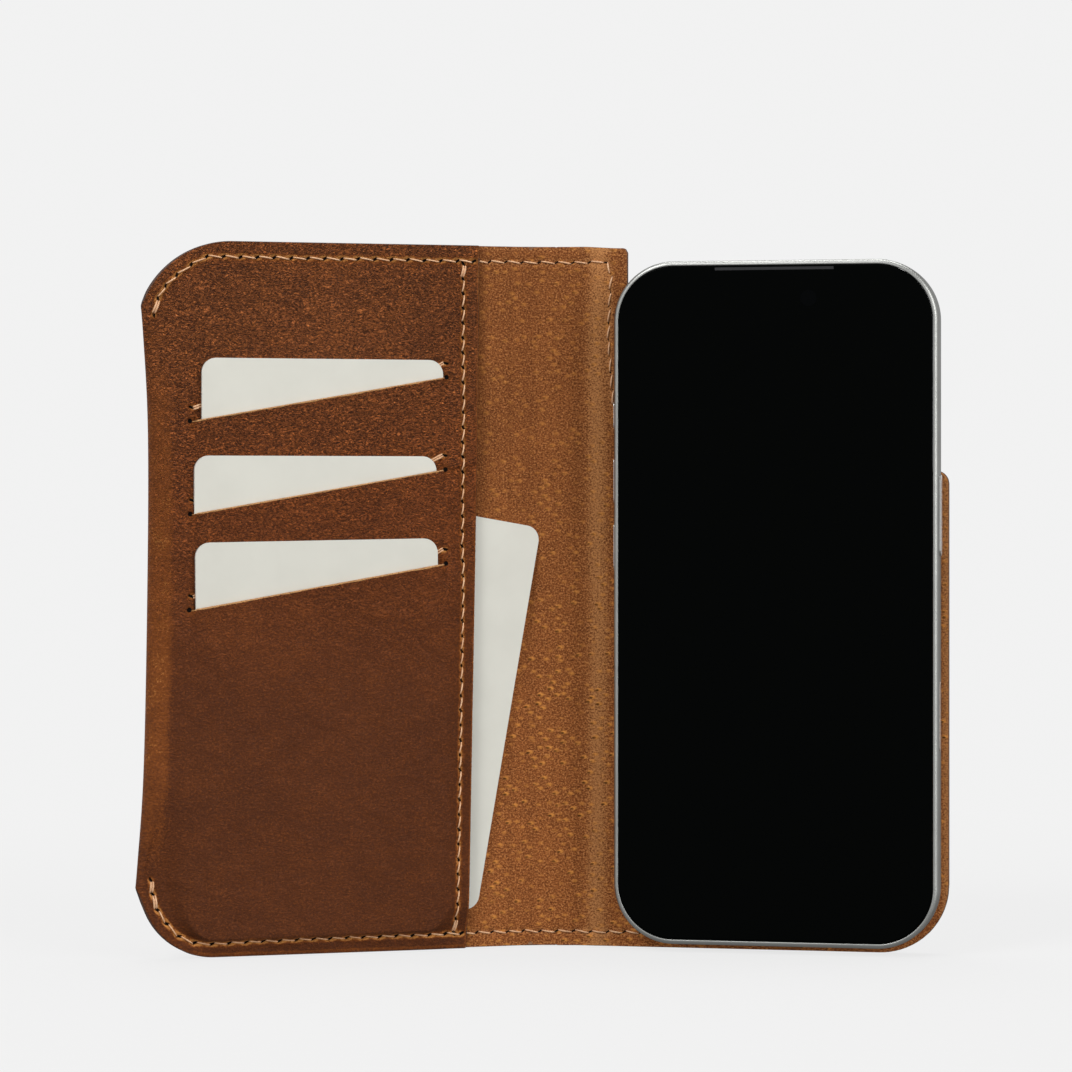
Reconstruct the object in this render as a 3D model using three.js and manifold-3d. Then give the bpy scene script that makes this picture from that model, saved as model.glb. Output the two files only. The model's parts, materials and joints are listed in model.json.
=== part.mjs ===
// Phone wallet case: a folded leather cover with card pockets, a spine strip and a magnetic back panel
// that holds a phone. It stands on its lower edge, opened like a book, inner side towards -Y.
// Millimetres, +Z up, origin at the middle of the bottom of the bounding box.
import * as THREE from "three";
import { mergeVertices } from "three/addons/utils/BufferGeometryUtils.js";
import Module from "manifold-3d";

const wasm = await Module();
wasm.setup();

// ---------------------------------------------------------------- driving dimensions

// Panel frame: x runs across a panel to the right, y is height, z stands off the lining face.
const HEIGHT = 154.4;
const COVER_TILT = THREE.MathUtils.degToRad(17.3);
const BACK_TILT = THREE.MathUtils.degToRad(11.9);
const HINGE_RISE = 2.2; // hinge axes stand this far in front of the lining
const COVER_HINGE_X = -1.0;
const BACK_HINGE_X = 9.36;
const HINGE_GAP = 1.3; // from a hinge axis to the edge of a panel
const SPINE_GAP_LEFT = 2.3; // wider, so that the side card's corner swings clear

const LINING_BACK = -0.8;
const BOARD_FRONT = -0.87;
const BOARD_BACK = -1.73;
const LEATHER_FRONT = -1.8;
const LEATHER_BACK = -2.6;

const COVER_TOP_R = 21;
const COVER_TOP_ARC_X = -67.2;
const COVER_BOTTOM_R = 16;
const COVER_BOTTOM_ARC_X = -71.2;
const COVER_BOTTOM_TURN = Math.PI * 0.367; // the lower corner turns this far, then runs straight
// the turned edge, drawn in between the stitched corners: [x, height] going up
const FOLD_LINE = [
  [-88.25, 15.3],
  [-86.4, 50],
  [-85.85, 85],
  [-85.9, 120],
  [-87.07, 140.2],
];
const FOLD_INNER_X = -84; // inside of the turned edge
const FOLD_TOP_Z = 4.0;
const FOLD_LOW_Y = 12;
const FOLD_HIGH_Y = 136;
const LINING_LEFT_X = -83.7;

const PANEL_LEATHER = 0.7;
const PANEL_EDGE_TOP_X = -11.7;
const PANEL_EDGE_BOTTOM_X = -14.7;
const TIER_1_BACK = 0.3;
const TIER_2_BACK = 1.88;
const HEM_BACK = 0.1;
const HEM_HEIGHT = 3.0;
const HEM_WALL_TOP = 3.6;
// each slit rises to the right: [left x, left height, right x, right height]
const SLITS = [
  [-76.6, 115.4, -19.5, 125.3],
  [-76.8, 95.4, -20.2, 105.05],
  [-77.3, 74.8, -20.5, 84.5],
];
const BRIDGE_LEFT_END = -85;
const BRIDGE_RIGHT_END = -15;
const BRIDGE_BELOW = 3.0;
const BRIDGE_ABOVE = 0.6;

const CARD_WIDTH = 53.98;
const CARD_HEIGHT = 85.6;
const CARD_THICK = 0.76;
const CARD_CORNER_R = 3.18;
const STACK_GAP = 0.06;
// centre x, centre height, back face at its centre, turn in the panel, lean away from the panel
const CARDS = [
  { x: -47.2, y: 86.4, back: 1.06, turn: -0.0012, lean: 0 },
  { x: -49.2, y: 65.3, back: 2.281, turn: -0.0013, lean: 0.011 },
  { x: -48.7, y: 47.0, back: 3.341, turn: 0.0146, lean: 0.0225 },
];
const SIDE_CARD = { x: -31.4, y: 54.8, back: 0.08, turn: -0.174, lean: 0 };
const LINER_THICK = 0.1;
const LINER_SIDE = 1.0; // how far a liner reaches past its card on each side

const THREAD_WIDTH = 0.6;
const THREAD_THICK = 0.2;
const THREAD_LIFT = 0.05;
const TOP_SEAM_Y = HEIGHT - 3.4;
const BOTTOM_SEAM_Y = 2.5;
const GROOVE_WIDTH = 0.9;
const GROOVE_DEPTH = 0.35;
const SLIT_SEAM_RISE = 3.2;
const CORNER_SEAM_TURN = Math.PI * 0.41; // how far the top seam follows the rounded corner
const PANEL_SEAM_BOTTOM_X = -17.4;
const PANEL_SEAM_TOP_X = -15.1;
const PANEL_SEAM_HIGH_Y = 148.5;
const STRIP_SEAM_X = 6.9; // the seam beside the phone
const STRIP_SEAM_LOW_Y = 112;
const STRIP_SEAM_TURN_R = 1.1;

const BACK_RIGHT_X = 81.4;
const BACK_CORNER_R = 15;
const BACK_TOP_CORNER_R = 2.3;
const CUT_RIGHT_Y = 104.4; // the camera cut-away's lower edge, at the right
const CUT_LEFT_Y = 114;
const CUT_LEFT_X = 22;
const CUT_SIDE_X = 10.4;
const BOARD_INSET = 2.5;
const BOARD_CORNER_R = 19;

const RING_X = 44.5;
const RING_Y = 76.1;
const RING_OUTER_R = 27.4;
const RING_INNER_R = 23.2;
const MAGNET_COUNT = 12;
const MAGNET_GAP_ANGLE = THREE.MathUtils.degToRad(3);
const MAGNET_BACK = -1.43;
const SHIELD_FRONT = -1.5;
const RING_CLEARANCE = 0.3;
const KEY_MAGNET = { x: RING_X, y: 30, width: 3.4, height: 15 };

const PHONE_LEFT_X = 8.9;
const PHONE_BOTTOM_Y = 1.5;
const PHONE_WIDTH = 71.2;
const PHONE_HEIGHT = 149.2;
const PHONE_CORNER_R = 13.3;
const PHONE_BACK = 0.3;
const PHONE_FRONT = 8.3;
const FRAME_WALL = 1.1;
const FRAME_SETBACK = 0.2; // the glass stands this far proud of the frame
const FRAME_BEVEL = 0.5;
const GLASS_THICK = 0.8;
const GLASS_GAP = 0.1;
const CORE_INSET = 2.6;
const BUTTON_WIDTH = 2.4;
const BUTTON_PROUD = 0.35;
const BUTTON_DEPTH = 0.8;
const BUTTON_GAP = 0.15;
const BUTTON_CENTRE_Z = 4.3;
const BUTTONS = [
  { name: "phone_action_button", side: -1, low: 113.7, high: 120.2, proud: BUTTON_PROUD },
  { name: "phone_volume_up", side: -1, low: 97.5, high: 107.8, proud: BUTTON_PROUD },
  { name: "phone_volume_down", side: -1, low: 82.9, high: 93.6, proud: BUTTON_PROUD },
  { name: "phone_side_button", side: 1, low: 86.5, high: 104.0, proud: BUTTON_PROUD },
  { name: "phone_camera_button", side: 1, low: 44.1, high: 59.5, proud: 0.05 },
];
const PORT = { width: 9, height: 3 };
const PLATEAU = { x: 58, y: 135, width: 34, height: 15, back: -1.2 };
const LENS_R = 5.4;
const LENS_STEP = 12.5;
const LENS_OFFSET = 8.5; // first lens, from the plateau's centre
const LENS_BACK = -1.9;
const FLASH_R = 2;
const FLASH_OFFSET = -13.75;
const EARPIECE = { width: 26, height: 0.6, drop: 1.1 };
const FRONT_CAMERA = { offset: 7.5, drop: 8.4, radius: 1.8 };
const TRIM_LIFT = 0.02; // small trim stands this far off the front glass
const EARPIECE_THICK = 0.06;
const FRONT_CAMERA_THICK = 0.04;

// ---------------------------------------------------------------- materials

function finish(color, roughness, metalness = 0) {
  return () => new THREE.MeshStandardMaterial({ color, roughness, metalness });
}
const leather = finish(0x8a4a22, 0.5);
const lining = finish(0xa0683c, 0.85);
const board = finish(0x9a9284, 0.9);
const fabric = finish(0x3a2a20, 0.9);
const thread = finish(0xd8b483, 0.8);
const cardPlastic = finish(0xece9e2, 0.4);
const magnetMetal = finish(0xa8a9ab, 0.35, 1);
const steel = finish(0x8b8d90, 0.45, 1);
const phoneMetal = finish(0xc9c7c0, 0.3, 1);
const screenGlass = finish(0x07080a, 0.08);
const backGlass = finish(0xd9d6cf, 0.35);
const darkPart = finish(0x121316, 0.4);
const flashPlastic = finish(0xf2ead2, 0.5);

// ---------------------------------------------------------------- helpers

function toSolid(geometry) {
  const bare = geometry.clone();
  bare.deleteAttribute("normal");
  bare.deleteAttribute("uv");
  const merged = mergeVertices(bare, 1e-4);
  const vertProperties = new Float32Array(merged.attributes.position.array);
  const triVerts = new Uint32Array(merged.index.array);
  return new wasm.Manifold(new wasm.Mesh({ numProp: 3, vertProperties, triVerts }));
}

function toGeometry(solid) {
  const mesh = solid.getMesh();
  const geometry = new THREE.BufferGeometry();
  geometry.setAttribute("position", new THREE.BufferAttribute(mesh.vertProperties, 3));
  geometry.setIndex(new THREE.BufferAttribute(mesh.triVerts, 1));
  geometry.computeVertexNormals();
  return geometry;
}

function piece(name, geometry, makeMaterial) {
  const mesh = new THREE.Mesh(geometry, makeMaterial());
  mesh.name = name;
  return mesh;
}

// A flat outline in a panel, thick from z0 to z1.
function plate(shape, z0, z1, curveSegments = 10) {
  const geometry = new THREE.ExtrudeGeometry(shape, { depth: z1 - z0, bevelEnabled: false, curveSegments });
  return geometry.translate(0, 0, z0);
}

function box(x0, x1, y0, y1, z0, z1) {
  const geometry = new THREE.BoxGeometry(x1 - x0, y1 - y0, z1 - z0);
  return geometry.translate((x0 + x1) / 2, (y0 + y1) / 2, (z0 + z1) / 2);
}

function polygon(points) {
  return new THREE.Shape(points.map(([x, y]) => new THREE.Vector2(x, y)));
}

function roundedRect(x0, y0, x1, y1, r) {
  const shape = new THREE.Shape();
  shape.moveTo(x0 + r, y0);
  shape.lineTo(x1 - r, y0);
  shape.absarc(x1 - r, y0 + r, r, -Math.PI / 2, 0, false);
  shape.lineTo(x1, y1 - r);
  shape.absarc(x1 - r, y1 - r, r, 0, Math.PI / 2, false);
  shape.lineTo(x0 + r, y1);
  shape.absarc(x0 + r, y1 - r, r, Math.PI / 2, Math.PI, false);
  shape.lineTo(x0, y0 + r);
  shape.absarc(x0 + r, y0 + r, r, Math.PI, Math.PI * 1.5, false);
  return shape;
}

// A section drawn as [height, stand-off] points, extruded across the panel from x0 to x1.
function crossBar(points, x0, x1) {
  const shape = polygon(points);
  const geometry = new THREE.ExtrudeGeometry(shape, { depth: x1 - x0, bevelEnabled: false });
  // section x is height, section y is stand-off, depth runs across the panel
  const turn = new THREE.Matrix4().makeBasis(
    new THREE.Vector3(0, 1, 0),
    new THREE.Vector3(0, 0, 1),
    new THREE.Vector3(1, 0, 0),
  );
  return geometry.applyMatrix4(turn).translate(x0, 0, 0);
}

// The flat band of a seam along a list of 2D points.
function seamBand(points, width, z0, z1) {
  const half = width / 2;
  const left = [];
  const right = [];
  for (let i = 0; i < points.length; i += 1) {
    const before = points[Math.max(i - 1, 0)];
    const after = points[Math.min(i + 1, points.length - 1)];
    const along = new THREE.Vector2(after.x - before.x, after.y - before.y).normalize();
    left.push([points[i].x - along.y * half, points[i].y + along.x * half]);
    right.push([points[i].x + along.y * half, points[i].y - along.x * half]);
  }
  return plate(polygon([...left, ...right.reverse()]), z0, z1);
}

function slitHeight(slit, x) {
  const [x0, y0, x1, y1] = slit;
  return y0 + ((y1 - y0) * (x - x0)) / (x1 - x0);
}

function panelEdgeX(y) {
  return PANEL_EDGE_BOTTOM_X + ((PANEL_EDGE_TOP_X - PANEL_EDGE_BOTTOM_X) * y) / HEIGHT;
}

// Back face of a pocket card at a height, measured off the lining.
function cardBack(card, y) {
  return card.back + card.lean * (y - card.y);
}

// ---------------------------------------------------------------- cover

function coverOutline() {
  const topArcY = HEIGHT - COVER_TOP_R;
  const foldTop = FOLD_LINE[FOLD_LINE.length - 1];
  const topStart = Math.PI - Math.asin((foldTop[1] - topArcY) / COVER_TOP_R);
  const bottomEnd = Math.PI * 1.5 - COVER_BOTTOM_TURN;
  const shape = new THREE.Shape();
  shape.moveTo(-HINGE_GAP, 0);
  shape.lineTo(COVER_BOTTOM_ARC_X, 0);
  shape.absarc(COVER_BOTTOM_ARC_X, COVER_BOTTOM_R, COVER_BOTTOM_R, Math.PI * 1.5, bottomEnd, true);
  shape.lineTo(FOLD_LINE[0][0], FOLD_LINE[0][1]);
  shape.splineThru(FOLD_LINE.slice(1).map(([x, y]) => new THREE.Vector2(x, y)));
  shape.absarc(COVER_TOP_ARC_X, topArcY, COVER_TOP_R, topStart, Math.PI / 2, true);
  shape.lineTo(-HINGE_GAP, HEIGHT);
  return shape;
}

// One tier of the pocket panel: an outline across the panel, met with a section up the panel.
function tier(outline, section) {
  const across = toSolid(plate(polygon(outline), -1, 9));
  const up = toSolid(crossBar(section, -95, 0));
  return across.intersect(up);
}

function tierFronts() {
  const reach = STACK_GAP + CARD_THICK;
  const over2 = (y) => cardBack(CARDS[1], y) + reach;
  const over3 = (y) => cardBack(CARDS[2], y) + reach;
  return [() => TIER_1_BACK, () => TIER_2_BACK, over2, over3];
}

function pocketPanel() {
  const backs = tierFronts();
  const t = PANEL_LEATHER;
  const far = FOLD_INNER_X - 0.6; // a little inside the turned edge, so that the two join
  const near = PANEL_EDGE_TOP_X + 5; // trimmed to the free edge at the end
  let panel = null;
  for (let i = 0; i < 4; i += 1) {
    const upper = i === 0 ? null : SLITS[i - 1];
    const lower = i === 3 ? null : SLITS[i];
    const topLeft = upper ? slitHeight(upper, far) : HEIGHT;
    const topRight = upper ? slitHeight(upper, near) : HEIGHT;
    const bottomLeft = lower ? slitHeight(lower, far) : 0;
    const bottomRight = lower ? slitHeight(lower, near) : 0;
    const outline = [[far, bottomLeft], [near, bottomRight], [near, topRight], [far, topLeft]];
    const z = backs[i];
    const low = lower ? bottomLeft - 1 : HEM_WALL_TOP;
    const high = Math.min(topRight + 1, HEIGHT);
    const section = [[low, z(low)], [low, z(low) + t], [high, z(high) + t], [high, z(high)]];
    if (!lower) {
      const wallFront = z(HEM_WALL_TOP) + t;
      section.splice(1, 1, [HEM_WALL_TOP, HEM_BACK], [0, HEM_BACK], [0, HEM_BACK + t]);
      section.splice(4, 0, [HEM_HEIGHT, HEM_BACK + t], [HEM_HEIGHT, wallFront]);
    }
    const made = tier(outline, section);
    panel = panel ? panel.add(made) : made;
  }
  for (let i = 0; i < 3; i += 1) {
    const [xLeft, yLeft, xRight, yRight] = SLITS[i];
    for (const [x0, x1, y] of [[BRIDGE_LEFT_END, xLeft, yLeft], [xRight, BRIDGE_RIGHT_END, yRight]]) {
      const low = backs[i](y) + 0.01;
      const high = backs[i + 1](y) + t - 0.02;
      panel = panel.add(toSolid(box(x0, x1, y - BRIDGE_BELOW, y + BRIDGE_ABOVE, low, high)));
    }
  }
  const keep = polygon([
    [-95, -1], [panelEdgeX(0), -1], [panelEdgeX(0), 0], [panelEdgeX(HEIGHT), HEIGHT],
    [panelEdgeX(HEIGHT), HEIGHT + 1], [-95, HEIGHT + 1],
  ]);
  return panel.intersect(toSolid(plate(keep, -1, 9)));
}

function slitSeamPoints(slit) {
  const [x0, y0, x1, y1] = slit;
  return [new THREE.Vector2(x0 - 0.8, y0 + SLIT_SEAM_RISE), new THREE.Vector2(x1 + 0.8, y1 + SLIT_SEAM_RISE)];
}

// Runs along the cover's top or bottom edge, from the panel's free edge to the rounded corner.
function edgeSeamPoints(atTop) {
  const y = atTop ? TOP_SEAM_Y : BOTTOM_SEAM_Y;
  const start = new THREE.Vector2(panelEdgeX(y) - 0.3, y);
  if (!atTop) {
    return [start, new THREE.Vector2(COVER_BOTTOM_ARC_X, y)];
  }
  const points = [start];
  const arcY = HEIGHT - COVER_TOP_R;
  const r = y - arcY;
  const steps = 8;
  for (let i = 0; i <= steps; i += 1) {
    const a = (CORNER_SEAM_TURN * i) / steps;
    points.push(new THREE.Vector2(COVER_TOP_ARC_X - Math.sin(a) * r, arcY + Math.cos(a) * r));
  }
  return points;
}

// Cards pass over these seams, so each one lies in a groove.
function seamGroove(points, front) {
  const floor = front - GROOVE_DEPTH;
  return toSolid(seamBand(points, GROOVE_WIDTH, floor, floor + 2));
}

function topSeamGroove() {
  const points = edgeSeamPoints(true);
  points[0].x += 1;
  return seamGroove(points, TIER_1_BACK + PANEL_LEATHER);
}

function coverLeather() {
  const outline = coverOutline();
  const outer = toSolid(plate(outline, LEATHER_BACK, LEATHER_FRONT));
  const whole = toSolid(plate(outline, LEATHER_BACK, FOLD_TOP_Z));
  const turned = whole.intersect(toSolid(box(-95, FOLD_INNER_X, FOLD_LOW_Y, FOLD_HIGH_Y, -5, 9)));
  const inside = toSolid(plate(outline, -5, 9));
  let body = outer.add(turned).add(pocketPanel()).intersect(inside);
  const fronts = tierFronts();
  SLITS.forEach((slit, i) => {
    body = body.subtract(seamGroove(slitSeamPoints(slit), fronts[i](slit[1]) + PANEL_LEATHER));
  });
  body = body.subtract(topSeamGroove());
  return piece("cover_leather", toGeometry(body), leather);
}

function coverLining() {
  const sheet = toSolid(plate(coverOutline(), LINING_BACK, 0));
  const cut = sheet.intersect(toSolid(box(LINING_LEFT_X, 0, -1, HEIGHT + 1, -5, 5)));
  return piece("cover_lining", toGeometry(cut), lining);
}

function coverBoard() {
  const shape = roundedRect(LINING_LEFT_X, BOARD_INSET, -HINGE_GAP - 1, HEIGHT - BOARD_INSET, BOARD_CORNER_R);
  return piece("cover_board", plate(shape, BOARD_BACK, BOARD_FRONT), board);
}

function slitSeam(index) {
  const slit = SLITS[index];
  const points = slitSeamPoints(slit);
  points[0].x += 0.2;
  points[1].x -= 0.2;
  const floor = tierFronts()[index](slit[1]) + PANEL_LEATHER - GROOVE_DEPTH;
  const low = floor + THREAD_LIFT;
  return piece(`thread_slit_${index + 1}`, seamBand(points, THREAD_WIDTH, low, low + THREAD_THICK), thread);
}

// A seam just inside the cover's edge: flat on the lining, then up on the pocket panel and round the corner.
function coverEdgeSeam(name, atTop) {
  const y = atTop ? TOP_SEAM_Y : BOTTOM_SEAM_Y;
  const edge = panelEdgeX(y);
  const floor = (atTop ? TIER_1_BACK - GROOVE_DEPTH : HEM_BACK) + PANEL_LEATHER;
  const low = floor + THREAD_LIFT;
  const high = low + THREAD_THICK;
  const half = THREAD_WIDTH / 2;
  const onPanel = toSolid(seamBand(edgeSeamPoints(atTop), THREAD_WIDTH, low, high));
  const riser = toSolid(box(edge + 0.1, edge + 0.5, y - half, y + half, THREAD_LIFT, high));
  const link = toSolid(box(edge - 0.5, edge + 0.5, y - half, y + half, low, high));
  const top = THREAD_LIFT + THREAD_THICK;
  const flat = toSolid(box(edge + 0.1, -HINGE_GAP, y - half, y + half, THREAD_LIFT, top));
  return piece(name, toGeometry(onPanel.add(link).add(riser).add(flat)), thread);
}

// Down the panel's free edge, stepping down and up with the tiers.
function panelEdgeSeam() {
  const fronts = tierFronts().map((back) => (y) => back(y) + PANEL_LEATHER + THREAD_LIFT);
  const x = (y) => PANEL_SEAM_BOTTOM_X + ((PANEL_SEAM_TOP_X - PANEL_SEAM_BOTTOM_X) * y) / HEIGHT;
  const jumps = SLITS.map((slit) => slitHeight(slit, x(slit[3])) + BRIDGE_ABOVE + 0.5);
  const stops = [PANEL_SEAM_HIGH_Y, ...jumps, HEM_HEIGHT + 2];
  const lower = [];
  for (let i = 0; i < 4; i += 1) {
    lower.push([stops[i], fronts[i](stops[i])], [stops[i + 1], fronts[i](stops[i + 1])]);
  }
  // the outer line is the inner one moved out, and up at each step, so that the band keeps its thickness
  const upper = lower.map(([y, z], i) => {
    const isEnd = i === 0 || i === lower.length - 1;
    return [isEnd ? y : y + THREAD_THICK, z + THREAD_THICK];
  });
  const bar = toSolid(crossBar([...lower, ...upper.reverse()], -25, -8));
  const half = THREAD_WIDTH / 2;
  const strip = [[x(0) - half, 0], [x(0) + half, 0], [x(HEIGHT) + half, HEIGHT], [x(HEIGHT) - half, HEIGHT]];
  const keep = toSolid(plate(polygon(strip), -1, 9));
  return piece("thread_panel_edge", toGeometry(bar.intersect(keep)), thread);
}

// A thin pocket wall behind a card, from just under its slit to just under the card.
function pocketLiner(index) {
  const card = CARDS[index];
  const slit = SLITS[index];
  const half = CARD_WIDTH / 2 + LINER_SIDE;
  const x0 = Math.max(card.x - half, slit[0] + 0.3);
  const x1 = Math.min(card.x + half, slit[2] - 0.3);
  const base = Math.max(card.y - CARD_HEIGHT / 2 - 0.3, HEM_WALL_TOP + 0.1);
  const under = 0.4;
  const outline = [
    [x0, base],
    [x1, base],
    [x1, slitHeight(slit, x1) - under],
    [x0, slitHeight(slit, x0) - under],
  ];
  const back = (y) => cardBack(card, y) - STACK_GAP - LINER_THICK;
  const top = slit[3] + 2;
  const section = [
    [base - 1, back(base - 1)], [top, back(top)],
    [top, back(top) + LINER_THICK], [base - 1, back(base - 1) + LINER_THICK],
  ];
  return piece(`pocket_liner_${index + 1}`, toGeometry(tier(outline, section)), fabric);
}

function card(name, place) {
  const x = CARD_WIDTH / 2;
  const y = CARD_HEIGHT / 2;
  const shape = roundedRect(-x, -y, x, y, CARD_CORNER_R);
  const mesh = piece(name, plate(shape, 0, CARD_THICK, 6), cardPlastic);
  mesh.position.set(place.x, place.y, place.back);
  mesh.rotation.order = "XYZ";
  mesh.rotation.set(place.lean, 0, place.turn);
  return mesh;
}

function coverPanel() {
  const group = new THREE.Group();
  group.add(coverLeather(), coverLining(), coverBoard());
  for (let i = 0; i < 3; i += 1) {
    group.add(pocketLiner(i), slitSeam(i), card(`card_${i + 1}`, CARDS[i]));
  }
  group.add(card("side_card", SIDE_CARD));
  group.add(coverEdgeSeam("thread_cover_top", true));
  group.add(coverEdgeSeam("thread_cover_bottom", false));
  group.add(panelEdgeSeam());
  return group;
}

// ---------------------------------------------------------------- spine

function spineStrip() {
  const group = new THREE.Group();
  const x0 = COVER_HINGE_X + SPINE_GAP_LEFT;
  const x1 = BACK_HINGE_X - HINGE_GAP;
  const half = THREAD_WIDTH / 2;
  const threadTop = THREAD_LIFT + THREAD_THICK;
  group.add(piece("spine_leather", box(x0, x1, 0, HEIGHT, LEATHER_BACK, LEATHER_FRONT), leather));
  group.add(piece("spine_lining", box(x0, x1, 0, HEIGHT, LINING_BACK, 0), lining));
  const inset = box(x0 + 0.8, x1 - 0.8, BOARD_INSET, HEIGHT - BOARD_INSET, BOARD_BACK, BOARD_FRONT);
  group.add(piece("spine_board", inset, board));
  for (const [name, y] of [["thread_spine_top", TOP_SEAM_Y], ["thread_spine_bottom", BOTTOM_SEAM_Y]]) {
    const band = box(x0 + 0.2, x1 - 0.2, y - half, y + half, THREAD_LIFT, threadTop);
    group.add(piece(name, band, thread));
  }
  return group;
}

// ---------------------------------------------------------------- back panel

// Full height beside the spine, and cut away above the slanted edge to clear the phone's cameras.
function backOutline(inset = 0) {
  const left = HINGE_GAP + inset;
  const right = BACK_RIGHT_X - inset;
  const r = BACK_CORNER_R - inset;
  const side = CUT_SIDE_X - inset;
  const slope = (CUT_LEFT_Y - CUT_RIGHT_Y) / (BACK_RIGHT_X - CUT_LEFT_X);
  const tip = BACK_TOP_CORNER_R;
  const shape = new THREE.Shape();
  shape.moveTo(left, inset);
  shape.lineTo(right - r, inset);
  shape.absarc(right - r, inset + r, r, -Math.PI / 2, 0, false);
  shape.lineTo(right, CUT_RIGHT_Y - inset - tip);
  shape.absarc(right - tip, CUT_RIGHT_Y - inset - tip, tip, 0, Math.PI / 2 - slope, false);
  shape.lineTo(CUT_LEFT_X, CUT_LEFT_Y - inset);
  shape.quadraticCurveTo(side, CUT_LEFT_Y + slope * (CUT_LEFT_X - side) - inset, side, CUT_LEFT_Y + 12);
  shape.lineTo(side, HEIGHT - inset);
  shape.lineTo(left, HEIGHT - inset);
  return shape;
}

function ringShape(outer, inner) {
  const shape = new THREE.Shape();
  shape.absarc(RING_X, RING_Y, outer, 0, Math.PI * 2, false);
  const hole = new THREE.Path();
  hole.absarc(RING_X, RING_Y, inner, 0, Math.PI * 2, true);
  shape.holes.push(hole);
  return shape;
}

function keyMagnetBox(clearance, z0, z1) {
  const halfWidth = KEY_MAGNET.width / 2 + clearance;
  const halfHeight = KEY_MAGNET.height / 2 + clearance;
  const { x, y } = KEY_MAGNET;
  return box(x - halfWidth, x + halfWidth, y - halfHeight, y + halfHeight, z0, z1);
}

function backBoard() {
  const sheet = toSolid(plate(backOutline(BOARD_INSET), BOARD_BACK, BOARD_FRONT));
  // the ring sits in a round recess that leaves the middle of the board whole
  const recess = ringShape(RING_OUTER_R + RING_CLEARANCE, RING_INNER_R - RING_CLEARANCE);
  const ring = toSolid(plate(recess, BOARD_BACK + 0.1, 0, 24));
  const slot = toSolid(keyMagnetBox(RING_CLEARANCE, -5, 0));
  return piece("back_board", toGeometry(sheet.subtract(ring).subtract(slot)), board);
}

function ringMagnet(index) {
  const step = (Math.PI * 2) / MAGNET_COUNT;
  const from = step * index + MAGNET_GAP_ANGLE / 2;
  const to = step * (index + 1) - MAGNET_GAP_ANGLE / 2;
  const shape = new THREE.Shape();
  shape.absarc(RING_X, RING_Y, RING_OUTER_R, from, to, false);
  shape.absarc(RING_X, RING_Y, RING_INNER_R, to, from, true);
  const name = `ring_magnet_${String(index + 1).padStart(2, "0")}`;
  return piece(name, plate(shape, MAGNET_BACK, BOARD_FRONT, 4), magnetMetal);
}

function backEdgeSeams() {
  const start = HINGE_GAP + 0.2;
  const r = STRIP_SEAM_TURN_R;
  const turnX = STRIP_SEAM_X - r;
  const top = [new THREE.Vector2(start, TOP_SEAM_Y), new THREE.Vector2(turnX, TOP_SEAM_Y)];
  for (let i = 1; i <= 4; i += 1) {
    const a = (Math.PI / 2) * (i / 4);
    top.push(new THREE.Vector2(turnX + Math.sin(a) * r, TOP_SEAM_Y - r + Math.cos(a) * r));
  }
  top.push(new THREE.Vector2(STRIP_SEAM_X, STRIP_SEAM_LOW_Y));
  const bottomEnd = new THREE.Vector2(BACK_RIGHT_X - BACK_CORNER_R, BOTTOM_SEAM_Y);
  const bottom = [new THREE.Vector2(start, BOTTOM_SEAM_Y), bottomEnd];
  const z1 = THREAD_LIFT + THREAD_THICK;
  return [
    piece("thread_back_top", seamBand(top, THREAD_WIDTH, THREAD_LIFT, z1), thread),
    piece("thread_back_bottom", seamBand(bottom, THREAD_WIDTH, THREAD_LIFT, z1), thread),
  ];
}

function backPanel() {
  const group = new THREE.Group();
  group.add(piece("back_leather", plate(backOutline(), LEATHER_BACK, LEATHER_FRONT), leather));
  group.add(piece("back_lining", plate(backOutline(), LINING_BACK, 0), lining));
  group.add(backBoard());
  const shield = ringShape(RING_OUTER_R, RING_INNER_R);
  group.add(piece("ring_shield", plate(shield, BOARD_BACK + 0.15, SHIELD_FRONT, 24), steel));
  for (let i = 0; i < MAGNET_COUNT; i += 1) {
    group.add(ringMagnet(i));
  }
  group.add(piece("key_magnet", keyMagnetBox(0, BOARD_BACK, BOARD_FRONT), magnetMetal));
  group.add(...backEdgeSeams());
  group.add(phone());
  return group;
}

// ---------------------------------------------------------------- phone

function phoneOutline(inset) {
  const x0 = PHONE_LEFT_X + inset;
  const y0 = PHONE_BOTTOM_Y + inset;
  const x1 = PHONE_LEFT_X + PHONE_WIDTH - inset;
  const y1 = PHONE_BOTTOM_Y + PHONE_HEIGHT - inset;
  return roundedRect(x0, y0, x1, y1, PHONE_CORNER_R - inset);
}

function buttonSpan(button, clearance) {
  const wall = button.side < 0 ? PHONE_LEFT_X : PHONE_LEFT_X + PHONE_WIDTH;
  const outer = wall + button.side * (button.proud + clearance * 8);
  const inner = wall - button.side * (BUTTON_DEPTH + clearance * 8);
  return [Math.min(outer, inner), Math.max(outer, inner)];
}

// A round-ended bar lying up the side wall of the phone.
function buttonBar(button, clearance) {
  const [x0, x1] = buttonSpan(button, clearance);
  const half = BUTTON_WIDTH / 2 + clearance;
  const z = BUTTON_CENTRE_Z;
  const shape = roundedRect(button.low - clearance, -half, button.high + clearance, half, half - 0.01);
  const options = { depth: x1 - x0, bevelEnabled: false, curveSegments: 5 };
  const geometry = new THREE.ExtrudeGeometry(shape, options);
  const turn = new THREE.Matrix4().makeBasis(
    new THREE.Vector3(0, 1, 0),
    new THREE.Vector3(0, 0, 1),
    new THREE.Vector3(1, 0, 0),
  );
  return geometry.applyMatrix4(turn).translate(x0, 0, z);
}

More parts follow.
